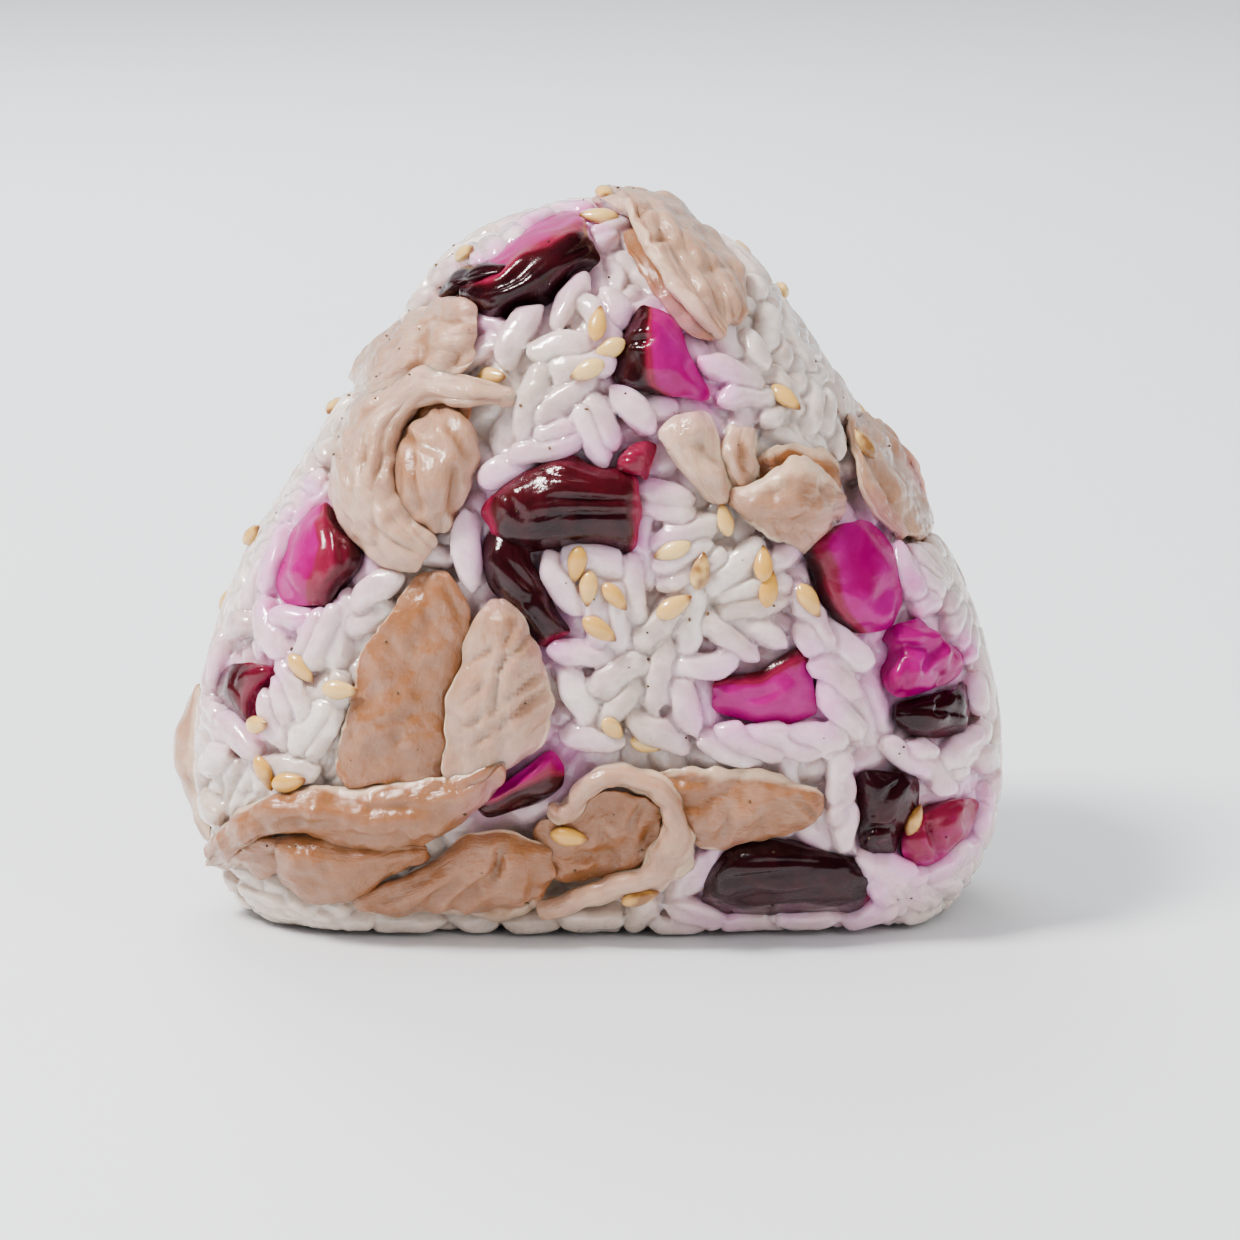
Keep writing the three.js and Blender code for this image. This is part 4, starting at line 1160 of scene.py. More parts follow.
@dataclass(frozen=True)
class RiceHeap:
    """The rice: a layer of sunken grains and one of outer grains in a starchy mass, one skin."""

    bed: GrainBed = GrainBed()
    rings: int = 11
    around: int = 14
    core_level: float = -0.1
    lump: float = 0.4
    top_level: float = 2.35
    fillet: float = 0.42
    mass_depth: tuple[float, float] = (0.5, 0.95)
    mass_grid: tuple[int, int] = (226, 400)
    seam_width: float = 0.3
    seam_depth: float = 0.34
    voxel: float = 0.27
    triangles: int = 196_000
    seed: int = 21

    def kernels(self, grains: Grains) -> Shell:
        """All grains as one shell of closed kernels.

        A kernel's outline is (1 - |t|^2.3)^0.6 along its middle line, blunter at one end, flatter
        than wide and bent. What reaches past the heap's faces is pressed flat there.

        Args:
            grains: where they lie.

        Returns:
            The shell.
        """
        draw = np.random.default_rng(self.seed)
        count = len(grains.radii)
        axis = grains.ends[:, 1] - grains.ends[:, 0]
        half = np.linalg.norm(axis, axis=-1) / 2 + grains.radii
        axis = unit(axis)
        middle = grains.ends.mean(1)
        out = BALL.normals(middle)
        side = unit(np.cross(out, axis) + 0.25 * draw.normal(size=(count, 3)))
        side = unit(side - axis * (side * axis).sum(-1, keepdims=True))
        high = np.cross(axis, side)
        t = np.sin(np.linspace(-1, 1, self.rings + 2)[1:-1] * math.pi / 2)
        x, y, z = ball(t, (1 - np.abs(t) ** 2.3) ** 0.6, self.around).T
        blunt = draw.uniform(-0.1, 0.1, (count, 1))
        plump = grains.radii[:, None] * (1 + blunt * x)
        wide, flat = draw.uniform(0.95, 1.1, (count, 1)), draw.uniform(0.86, 0.98, (count, 1))
        bend = draw.uniform(-0.5, 0.5, (count, 1))
        local_x, local_y = half[:, None] * x, plump * wide * y + bend * (1 - x**2)
        local_z = plump * flat * z
        points = (middle[:, None] + axis[:, None] * local_x[..., None]
                  + side[:, None] * local_y[..., None] + high[:, None] * local_z[..., None])
        warp = [ripples(points, 2.7, self.seed + k) for k in range(3)]
        points = points + 0.22 * np.stack(warp, -1)
        points = BALL.lifted(points, self.capped)
        points[..., 2] = np.maximum(points[..., 2], 0.02)
        return Shell.balls(points, self.around)

    def capped(self, level: Array) -> Array:
        """Returns levels pressed softly below the top one: the last half mm runs out as a tanh."""
        over = np.maximum(level - (self.top_level - 0.5), 0)
        return level - over + 0.5 * np.tanh(over / 0.5)

    def mass(self, grains: Grains) -> Shell:
        """The starchy mass that binds the grains.

        Each point moves down the body's normal until a smooth minimum of its distances to the
        nearest rods and a lumpy floor, -k log(sum(exp(-d / k))), falls to the mass's depth inside
        the grains. So it fills the gaps between them.

        Args:
            grains: the rods that it binds.

        Returns:
            The shell, closed at two poles at its left and right.
        """
        rings, around = self.mass_grid
        polar = np.linspace(0, math.pi, rings + 2)[1:-1]
        surface = BALL.drop(BALL.middle + ball(-np.cos(polar), np.sin(polar), around))
        out = BALL.normals(surface)
        floor = self.core_level + self.lump * ripples(surface, 3.4, 5)
        starch = ease(0.5 + 0.9 * ripples(surface, 8.0, 6))
        depth = self.mass_depth[0] + (self.mass_depth[1] - self.mass_depth[0]) * starch
        near = grains.near(surface)
        level = np.full(len(surface), self.top_level + 1.0)
        for _ in range(24):
            gap = grains.gaps(surface + out * level[:, None], near)
            gap = np.concatenate([gap, (level - floor)[:, None]], 1)
            least = -self.fillet * np.log(np.exp(-gap / self.fillet).sum(1))
            level = np.maximum(level - 0.8 * np.maximum(least + depth, 0), floor - 1)
        points = surface + out * level[:, None]
        points[:, 2] = np.maximum(points[:, 2], 0.05)
        return Shell.balls(points[None], around)

    def seams(self, gaps: Array) -> Array:
        """How near points are to a seam, where two grains are equally far.

        Args:
            gaps: how far each point is from some grains.

        Returns:
            1 on a seam, and 0 well off it or off all grains.
        """
        first, second = np.partition(gaps, 1, axis=1)[:, :2].T
        return np.exp(-(((second - first) / self.seam_width) ** 2)) * ease((0.5 - first) / 0.4)

    def fused(self, rough: Shell, grains: Grains) -> Shell:
        """Fuses overlapping shells into one skin, so that light passes from grain to grain.

        The remesh keeps what is outside of all of them. It is pushed in along the seams between
        grains and thinned where it is flat.

        Args:
            rough: the shells, side by side.
            grains: the rods that the seams run between.

        Returns:
            The skin.
        """
        piece = rough.to_object("rice_rough", None)
        self.changed(piece, "REMESH", mode="VOXEL", voxel_size=self.voxel * MM)
        self.changed(piece, "SMOOTH", iterations=1, factor=0.5)
        points, normals = self.numbers(piece.data, "co"), self.numbers(piece.data, "normal")
        seams = self.seams(grains.gaps(points / MM, grains.near(points / MM)))
        points = points - normals * (self.seam_depth * MM * seams)[:, None]
        piece.data.vertices.foreach_set("co", points.ravel())
        ratio = self.triangles / (2 * len(piece.data.polygons))
        self.changed(piece, "DECIMATE", ratio=ratio)
        mesh = piece.data
        mesh.calc_loop_triangles()
        tris = np.empty(3 * len(mesh.loop_triangles), int)
        mesh.loop_triangles.foreach_get("vertices", tris)
        points = self.numbers(mesh, "co") / MM
        bpy.data.objects.remove(piece)
        return Shell(points, tris=tris.reshape(-1, 3))

    @staticmethod
    def changed(piece: Object, kind: str, **settings: object) -> None:
        """Gives a piece the mesh that one modifier makes of it.

        Args:
            piece: the piece.
            kind: which modifier.
            settings: the modifier's settings, by name.
        """
        modifier = piece.modifiers.new(kind.lower(), kind)
        for key, value in settings.items():
            setattr(modifier, key, value)
        graph = bpy.context.evaluated_depsgraph_get()
        piece.data = bpy.data.meshes.new_from_object(piece.evaluated_get(graph))
        piece.modifiers.clear()

    @staticmethod
    def numbers(mesh: bpy.types.Mesh, name: str) -> Array:
        """Reads a mesh's points.

        Args:
            mesh: the mesh.
            name: co for their places, or normal.

        Returns:
            The values, one point in each row.
        """
        values = np.empty(3 * len(mesh.vertices))
        mesh.vertices.foreach_get(name, values)
        return values.reshape(-1, 3)

    def build(self, covers: Array, cover_radii: Array, stain: Stain, finish: Material) -> Object:
        """Makes the piece that stands for the rice's node.

        Args:
            covers: points in the toppings, that grains keep off.
            cover_radii: how thick the topping is round each.
            stain: where pickle juice tints the rice.
            finish: the rice's material.

        Returns:
            The piece.
        """
        grains = self.bed.settle(covers, cover_radii)
        log.info("grains: %d", len(grains.radii))
        skin = self.fused(Shell.joined([self.mass(grains), self.kernels(grains)]), grains)
        near = grains.near(skin.points)
        gap = grains.gaps(skin.points, near)
        tones = np.random.default_rng(self.seed + 9).uniform(0, 1, len(grains.radii))
        nearest = np.take_along_axis(near, gap.argmin(1)[:, None], 1)[:, 0]
        # Painted shade: the gap field is high in the bare hollows between grains, along their seams and
        # towards the base.
        bare = ease((gap.min(1) - 0.1) / 0.4) * ease((0.6 - BALL.level(skin.points)) / 1.6)
        dry = (1 - 0.45 * ease((22 - skin.points[:, 2]) / 18)) * (1 - 0.35 * self.seams(gap))
        skin.fields = {"stain": stain.at(skin.points), "tone": tones[nearest],
                       "gap": 1 - (1 - bare) * dry}
        return place_piece(skin.to_object("rice_heap", finish), "rice", "rice")


# ---- Seeds and specks ----


@dataclass(frozen=True)
class Ground:
    """Finished pieces that small things are laid on."""

    trees: tuple[BVHTree, ...]

    @staticmethod
    def of(pieces: list[Object]) -> "Ground":
        """Returns the ground that pieces make."""
        graph = bpy.context.evaluated_depsgraph_get()
        return Ground(tuple(BVHTree.FromObject(piece, graph) for piece in pieces))

    def rest(self, rough: Array) -> tuple[Array, Array]:
        """Finds where things come to rest that are lowered along the body's normals.

        Args:
            rough: places near the surface, in mm.

        Returns:
            The points where they touch, in mm, and the ground's normals there.
        """
        surface = BALL.drop(rough)
        out = BALL.normals(surface)
        touch, normal = surface.copy(), out.copy()
        for k, (point, way) in enumerate(zip(surface, out)):
            start, down = Vector((point + 12 * way) * MM), Vector(-way)
            hits = [hit for hit in (tree.ray_cast(start, down) for tree in self.trees) if hit[0]]
            if hits:
                place, facing, _, _ = min(hits, key=lambda hit: hit[3])
                touch[k], normal[k] = np.array(place) / MM, np.array(facing)
        return touch, unit(normal + out)


@dataclass(frozen=True)
class SeedScatter:
    """Hulled sesame seeds: flat teardrops, each with a brown tip."""

    length: float = 3.8
    width: float = 2.25
    thick: float = 1.6
    rings: int = 8
    around: int = 10
    lie: float = 1.6
    raised: float = 0.22
    sizes: tuple[float, float] = (0.9, 1.06)
    toasted: float = 0.12
    lowest: float = 3.0
    front: Rows = ()
    elsewhere: int = 34
    seed: int = 31

    def build(self, ground: Ground, finish: Material) -> Object:
        """Makes all seeds as one piece: sin(pi t)^0.6 times a taper wide, with t from 0 to 1.

        Args:
            ground: what the seeds lie on.
            finish: their material.

        Returns:
            The piece.
        """
        draw = np.random.default_rng(self.seed)
        known = np.array([(*row, 0.0)[:4] for row in self.front])
        level = np.tile([self.lie, 0.0], (len(known), 1))
        front = VIEW.places(np.concatenate([known[:, :2], level], 1))
        ways = unit(draw.normal(size=(self.elsewhere, 3)) * [1, 1, 0.9])
        ways[:, 1] = np.abs(ways[:, 1]) * 0.9 + 0.1
        others = BALL.drop(BALL.middle + ways)
        others = others[others[:, 2] > self.lowest]
        touch, normal = ground.rest(np.concatenate([front, others]))
        count = len(touch)
        turn = np.concatenate([np.radians(known[:, 2]), draw.uniform(0, TAU, len(others))])
        right, up, _ = BALL.directions(BALL.drop(touch))
        ahead = right * np.cos(turn)[:, None] + up * np.sin(turn)[:, None]
        ahead = unit(ahead - normal * (ahead * normal).sum(-1, keepdims=True))
        side = np.cross(normal, ahead)
        t = 0.5 - 0.5 * np.cos(np.linspace(0, math.pi, self.rings + 2)[1:-1])
        outline = np.sin(math.pi * t) ** 0.6 * (1.12 - 0.55 * t)
        x, y, z = ball(2 * t - 1, outline, self.around).T / 2
        size = draw.uniform(*self.sizes, (count, 1, 1))
        lift = touch + normal * self.raised * self.thick
        points = lift[:, None] + size * (
            ahead[:, None] * self.length * x[:, None]
            + side[:, None] * self.width * y[:, None]
            + normal[:, None] * self.thick * z[:, None])
        toasted = np.concatenate([known[:, 3], draw.random(len(others)) < self.toasted])
        toast = np.repeat(toasted[:, None], len(x), 1)
        shade = np.repeat(draw.random((count, 1)), len(x), 1)
        fields = {"tip": np.tile(x + 0.5, count), "toast": toast.ravel(), "tone": shade.ravel()}
        shell = Shell.balls(points, self.around, fields)
        return place_piece(shell.to_object("sesame_seeds", finish), "sesame")


@dataclass(frozen=True)
class PepperScatter:
    """Coarse specks of ground pepper, each a small uneven lump."""

    count: int = 190
    sizes: tuple[float, float] = (0.06, 0.2)
    raised: float = 0.04
    lowest: float = 2.0
    seed: int = 41

    def build(self, ground: Ground, finish: Material) -> Object:
        """Makes all specks as one piece of eight-sided lumps.

        Args:
            ground: what they lie on.
            finish: their material.

        Returns:
            The piece.
        """
        draw = np.random.default_rng(self.seed)
        ways = unit(draw.normal(size=(self.count, 3)))
        rough = BALL.drop(BALL.middle + ways)
        touch, normal = ground.rest(rough[rough[:, 2] > self.lowest])
        count = len(touch)
        sizes = draw.uniform(*self.sizes, (count, 1, 1))
        polar = np.linspace(0, math.pi, 5)[1:-1]
        round_speck = ball(-np.cos(polar), np.sin(polar), 5)
        uneven = draw.uniform(0.6, 1.2, (count, len(round_speck), 1))
        stretch = draw.uniform(0.6, 1.3, (count, 1, 3))
        lift = touch + self.raised * normal
        points = lift[:, None] + round_speck * uneven * stretch * sizes
        shell = Shell.balls(points, 5)
        return place_piece(shell.to_object("pepper_specks", finish), "")


# ---- Finishes ----


class Recipe:
    """A material's nodes, put together one by one round its Principled shader."""

    def __init__(self, name: str, **sockets: Feed) -> None:
        """Starts a material.

        Args:
            name: its name.
            sockets: the shader's values that are even all over.
        """
        self.material = bpy.data.materials.new(name)
        self.material.use_nodes = True
        self.tree = self.material.node_tree
        self.shader = self.tree.nodes["Principled BSDF"]
        for key, value in sockets.items():
            self.set(key.replace("_", " "), value)

    def node(self, kind: str, inputs: dict[str | int, Feed] | None = None,
             **settings: object) -> bpy.types.Node:
        """Adds a node.

        Args:
            kind: its type, without ShaderNode in front.
            inputs: its sockets' values, or the outputs linked to them, by name or number.
            settings: its own properties.

        Returns:
            The node.
        """
        made = self.tree.nodes.new("ShaderNode" + kind)
        for key, value in settings.items():
            setattr(made, key, value)
        for key, value in (inputs or {}).items():
            self.feed(made.inputs[key], value)
        return made

    def feed(self, socket: Socket, value: Feed) -> None:
        """Links an output to a socket, or sets the socket's value.

        Args:
            socket: the socket.
            value: the output, or the value.
        """
        if isinstance(value, Socket):
            self.tree.links.new(value, socket)
        else:
            socket.default_value = (*value, 1) if socket.type == "RGBA" else value

    def field(self, name: str) -> Socket:
        """Returns the value of one of the mesh's own fields."""
        return self.node("Attribute", attribute_name=name).outputs["Fac"]

    def noise(self, scale: float, detail: float = 3.0, rough: float = 0.5,
              vector: Socket | None = None) -> Socket:
        """Returns noise of so many waves a metre over the piece, or over another vector."""
        place = vector or self.node("TexCoord").outputs["Object"]
        return self.node("TexNoise", {"Vector": place, "Scale": scale, "Detail": detail,
                                      "Roughness": rough}).outputs["Fac"]

    def spread(self, value: Feed, low: float, high: float,
               to: tuple[float, float] = (0.0, 1.0)) -> Socket:
        """Returns a value mapped from low and high to another range, and held within it."""
        return self.node("MapRange", {"Value": value, "From Min": low, "From Max": high,
                                      "To Min": to[0], "To Max": to[1]}).outputs["Result"]

    def mottle(self, scale: float, detail: float, low: float, high: float, rough: float = 0.5,
               edge: float = 0.3) -> Socket:
        """Returns noise as values from low to high, of which it holds the outer ones level."""
        return self.spread(self.noise(scale, detail, rough), edge, 1 - edge, (low, high))

    def sum(self, a: Feed, b: Feed, operation: str = "ADD") -> Socket:
        """Returns two values added, or put together by another operation."""
        return self.node("Math", {0: a, 1: b}, operation=operation).outputs[0]

    def blend(self, factor: Feed, a: Feed, b: Feed) -> Socket:
        """Returns colour a turning into colour b with a factor."""
        return self.node("Mix", {0: factor, 6: a, 7: b}, data_type="RGBA").outputs[2]

    def bump(self, height: Socket, depth: float, strength: float = 1.0) -> None:
        """Gives the shader and its wet coat a relief.

        Args:
            height: how high it is, from 0 to 1.
            depth: how many metres 1 stands for.
            strength: how much of it shows.
        """
        made = self.node("Bump", {"Height": height, "Distance": depth, "Strength": strength})
        for socket in ("Normal", "Coat Normal"):
            self.set(socket, made.outputs["Normal"])

    def set(self, socket: str, value: Feed) -> None:
        """Links an output to one of the shader's sockets, or sets its value."""
        self.feed(self.shader.inputs[socket], value)


@dataclass(frozen=True)
class RiceFinish:
    """Moist cooked rice: clear greyish grains with a whiter heart, tinted where juice soaked, with painted
    shade in the hollows and seams between grains and towards the base.
    """

    clear: Colour = (0.56, 0.455, 0.41)
    milky: Colour = (0.76, 0.67, 0.625)
    # The gap colour is painted shade for the hollows between grains, their seams and the rice low down.
    gap: Colour = (0.58, 0.47, 0.38)
    tint: Colour = (0.72, 0.40, 0.60)
    deep_tint: Colour = (0.62, 0.12, 0.36)

    def material(self) -> Material:
        """Mixes the finish.

        Returns:
            The material.
        """
        mix = Recipe("rice", Subsurface_Weight=1.0, Subsurface_Scale=0.0013,
                     Subsurface_Radius=(1.0, 0.8, 0.64), Coat_Weight=1.0,
                     Coat_Roughness=0.05, Coat_IOR=1.6, IOR=1.42)
        heart = mix.sum(mix.field("tone"), mix.mottle(520, 2.0, -0.35, 0.35, edge=0.35))
        colour = mix.blend(heart, self.clear, self.milky)
        # Painted shade: the gap colour darkens the hollows and seams between grains and the rice towards the
        # base.
        colour = mix.blend(mix.field("gap"), colour, self.gap)
        soaked = mix.sum(mix.field("stain"), mix.mottle(330, 2.0, 0.55, 1.1), "MULTIPLY")
        colour = mix.blend(mix.spread(soaked, 0.04, 0.62, (0.0, 0.95)), colour, self.tint)
        colour = mix.blend(mix.spread(soaked, 0.6, 1.0, (0.0, 0.7)), colour, self.deep_tint)
        mix.set("Base Color", colour)
        mix.set("Roughness", mix.mottle(900, 2.0, 0.2, 0.4))
        mix.bump(mix.noise(750, 4.0, 0.55), 0.00016, 0.8)
        return mix.material


@dataclass(frozen=True)
class PorkFinish:
    """Boiled pork: tan lean meat with fine fibres, a pink-grey bloom and pale fat at its edges, with painted
    shade in its creases and on its low-toned layers.
    """

    dark: Colour = (0.30, 0.125, 0.05)
    pale: Colour = (0.57, 0.385, 0.285)
    bloom: Colour = (0.49, 0.315, 0.25)
    fat: Colour = (0.70, 0.52, 0.385)
    tint: Colour = (0.66, 0.30, 0.40)

    def material(self) -> Material:
        """Mixes the finish.

        Returns:
            The material.
        """
        mix = Recipe("pork", Subsurface_Weight=0.6, Subsurface_Scale=0.0015,
                     Subsurface_Radius=(1.0, 0.5, 0.3), Coat_Weight=1.0,
                     Coat_Roughness=0.06, Coat_IOR=1.6, Specular_IOR_Level=0.3)
        uv = mix.node("UVMap", uv_map="fibre").outputs["UV"]
        along_fibre = mix.node("Mapping", {"Vector": uv, "Scale": (0.7, 2.0, 1.0)})
        fibre = mix.noise(1.0, 4.0, 0.6, along_fibre.outputs["Vector"])
        # The tone is partly painted shade: low on the lower slices and on the under layers.
        shade = mix.sum(mix.mottle(170, 3.0, -0.28, 0.28, 0.55), mix.field("tone"))
        shade = mix.sum(shade, mix.spread(fibre, 0.3, 0.7, (-0.1, 0.1)))
        colour = mix.blend(shade, self.dark, self.pale)
        fleck = mix.spread(mix.noise(260, 6.0, 0.72), 0.42, 0.68, (0.0, 0.5))
        bloomed = mix.spread(mix.field("tone"), -1.0, 0.6, (0.2, 1.0))
        fleck = mix.sum(fleck, bloomed, "MULTIPLY")
        colour = mix.blend(fleck, colour, self.bloom)
        rim = mix.sum(mix.field("rim"), mix.mottle(420, 3.0, -0.35, 0.25))
        colour = mix.blend(mix.spread(rim, 0.25, 0.8, (0.0, 0.7)), colour, self.fat)
        # Painted shade: the dark colour goes into the valleys and creases that the crest field marks.
        valley = mix.spread(mix.field("crest"), 0.0, 0.5, (0.75, 0.0))
        colour = mix.blend(valley, colour, self.dark)
        stain = mix.spread(mix.field("stain"), 0.3, 1.0, (0.0, 0.5))
        mix.set("Base Color", mix.blend(stain, colour, self.tint))
        mix.set("Roughness", mix.mottle(700, 2.0, 0.36, 0.55))
        height = mix.sum(mix.sum(fibre, 0.8, "MULTIPLY"), mix.noise(900, 4.0, 0.6))
        mix.bump(height, 0.00027, 0.7)
        return mix.material


@dataclass(frozen=True)
class PickleFinish:
    """Pickled eggplant: glossy near-black purple skin and bright magenta flesh."""

    black: Colour = (0.022, 0.005, 0.007)
    wine: Colour = (0.075, 0.009, 0.013)
    red: Colour = (0.24, 0.02, 0.05)
    flesh: Colour = (0.31, 0.003, 0.115)
    pale: Colour = (0.40, 0.018, 0.205)

    def material(self) -> Material:
        """Mixes the finish.

        Returns:
            The material.
        """
        mix = Recipe("pickle", Subsurface_Weight=0.3, Subsurface_Scale=0.0014,
                     Subsurface_Radius=(1.0, 0.25, 0.6), Coat_Weight=0.45,
                     Coat_Roughness=0.07, Specular_IOR_Level=0.3)
        skin = mix.sum(mix.field("skin"), mix.mottle(500, 3.0, -0.05, 0.05))
        paler = mix.spread(mix.noise(240, 3.0), 0.35, 0.7)
        flesh = mix.blend(paler, self.flesh, self.pale)
        worn = mix.spread(mix.noise(160, 3.0), 0.45, 0.75, (0.0, 0.6))
        dark = mix.blend(worn, self.black, self.wine)
        colour = mix.blend(mix.spread(skin, 0.38, 0.5), flesh, self.red)
        colour = mix.blend(mix.spread(skin, 0.62, 0.82), colour, self.wine)
        colour = mix.blend(mix.spread(skin, 0.82, 1.0), colour, dark)
        mix.set("Base Color", colour)
        mix.set("Roughness", mix.spread(skin, 0.3, 0.8, (0.36, 0.22)))
        mix.bump(mix.noise(800, 4.0, 0.6), 0.00017, 0.6)
        return mix.material


@dataclass(frozen=True)
class SeedFinish:
    """Hulled sesame, pale golden with a brown tip, or toasted brown."""

    pale: Colour = (0.76, 0.54, 0.24)
    golden: Colour = (0.62, 0.34, 0.08)
    brown: Colour = (0.20, 0.07, 0.02)

    def material(self) -> Material:
        """Mixes the finish.

        Returns:
            The material.
        """
        mix = Recipe("sesame", Roughness=0.32, Subsurface_Weight=0.3,
                     Subsurface_Scale=0.0008, Subsurface_Radius=(1.0, 0.6, 0.3),
                     Coat_Weight=0.9, Coat_Roughness=0.1)
        colour = mix.blend(mix.field("tone"), self.pale, self.golden)
        tip = mix.spread(mix.field("tip"), 0.8, 0.94, (0.0, 0.9))
        colour = mix.blend(tip, colour, self.brown)
        middle = mix.spread(mix.noise(420, 2.0), 0.42, 0.6, (0.0, 0.85))
        burnt = mix.sum(mix.field("toast"), middle, "MULTIPLY")
        mix.set("Base Color", mix.blend(burnt, colour, self.brown))
        mix.bump(mix.noise(2200, 2.0), 0.00006, 0.6)
        return mix.material


@dataclass(frozen=True)
class PepperFinish:
    """Ground black pepper: husk, dark brown, and a few lighter bits."""

    dark: Colour = (0.05, 0.03, 0.018)
    light: Colour = (0.22, 0.13, 0.06)

    def material(self) -> Material:
        """Mixes the finish.

        Returns:
            The material.
        """
        mix = Recipe("pepper", Roughness=0.6)
        lighter = mix.spread(mix.noise(900, 2.0), 0.4, 0.65)
        mix.set("Base Color", mix.blend(lighter, self.dark, self.light))
        return mix.material


@dataclass(frozen=True)
class FloorFinish:
    """A plain pale studio floor."""

    colour: Colour = (0.72, 0.73, 0.745)

    def material(self) -> Material:
        """Mixes the finish, even but for a faint mottle.

        Returns:
            The material.
        """
        mix = Recipe("studio_floor", Roughness=0.6)
        paler = tuple(1.03 * part for part in self.colour)
        mix.set("Base Color", mix.blend(mix.noise(14, 2.0), self.colour, paler))
        return mix.material


# ---- The studio ----


@dataclass(frozen=True)
class Studio:
    """The floor, soft lights and the camera."""

    field_width: float = 124.0
    aside: float = 2.2
    below: float = 7.0
    sensor: float = 36.0

    def build(self) -> None:
        """Makes the floor, the lights, the sky and the camera."""
        self.floor()
        self.lights()
        self.camera()
        log.info("studio ready")

    def camera(self) -> None:
        """Puts the camera at its distance, moved aside and below so that the part is off centre."""
        right, up, forward, eye = VIEW.axes()
        data = bpy.data.cameras.new("camera")
        data.sensor_width = self.sensor
        data.lens = self.sensor * VIEW.distance / self.field_width
        data.clip_start, data.clip_end = 0.01, 20
        camera = bpy.data.objects.new("camera", data)
        camera.location = (eye + right * self.aside - up * self.below) * MM
        camera.rotation_euler = Vector(forward).to_track_quat("-Z", "Y").to_euler()
        bpy.context.scene.collection.objects.link(camera)
        bpy.context.scene.camera = camera

    def floor(self) -> None:
        """Makes a wide sweep: a flat floor whose far end rises in a quarter circle to a wall."""
        radius, reach, wide, wall, under = 500.0, 1500.0, 2500.0, 1600.0, 0.2
        bend = np.linspace(0, math.pi / 2, 24)
        far = reach + radius * np.sin(bend)
        high = radius * (1 - np.cos(bend))
        path_y = np.concatenate([[-reach], far, [reach + radius]])
        path_z = np.concatenate([[0], high, [radius + wall]]) - under
        x, y = np.meshgrid([-wide, wide], path_y)
        points = np.stack([x, y, np.repeat(path_z[:, None], 2, 1)], -1).reshape(-1, 3)
        quads = 2 * np.arange(len(path_y) - 1)[:, None] + np.array([0, 1, 3, 2])
        floor = Shell(points, quads).to_object("studio_floor", FloorFinish().material())

    def lights(self) -> None:
        """Makes a soft window light that wet surfaces mirror, and fills and a sky that they don't."""
        self.softbox("window", (-390, -200, 610), 170, 7.6, (1.0, 0.985, 0.96), mirrored=True)
        self.softbox("across", (520, -420, 330), 460, 1.7, (1.0, 0.99, 0.98))
        self.softbox("behind", (-160, 520, 420), 380, 3.0, (0.96, 0.98, 1.0))
        world = bpy.data.worlds.new("sky")
        world.use_nodes = True
        sky = world.node_tree.nodes["Background"]
        sky.inputs["Color"].default_value = (0.88, 0.90, 0.93, 1)
        sky.inputs["Strength"].default_value = 0.85
        world.cycles_visibility.glossy = False
        bpy.context.scene.world = world
        bpy.context.scene.view_settings.look = "AgX - Medium High Contrast"

    def softbox(self, name: str, at: Place, size: float, watts: float,
                colour: Colour, mirrored: bool = False) -> None:
        """Makes one square area light that faces the target.

        Args:
            name: the light's name.
            at: its place in mm.
            size: its side in mm.
            watts: its power.
            colour: its colour.
            mirrored: whether glossy surfaces show it.
        """
        data = bpy.data.lights.new(name, "AREA")
        data.shape, data.size = "SQUARE", size * MM
        data.energy, data.color = watts, colour
        lamp = bpy.data.objects.new(name, data)
        lamp.location = Vector(at) * MM
        lamp.visible_glossy = mirrored
        way = Vector(VIEW.target) - Vector(at)
        lamp.rotation_euler = way.to_track_quat("-Z", "Y").to_euler()
        bpy.context.scene.collection.objects.link(lamp)
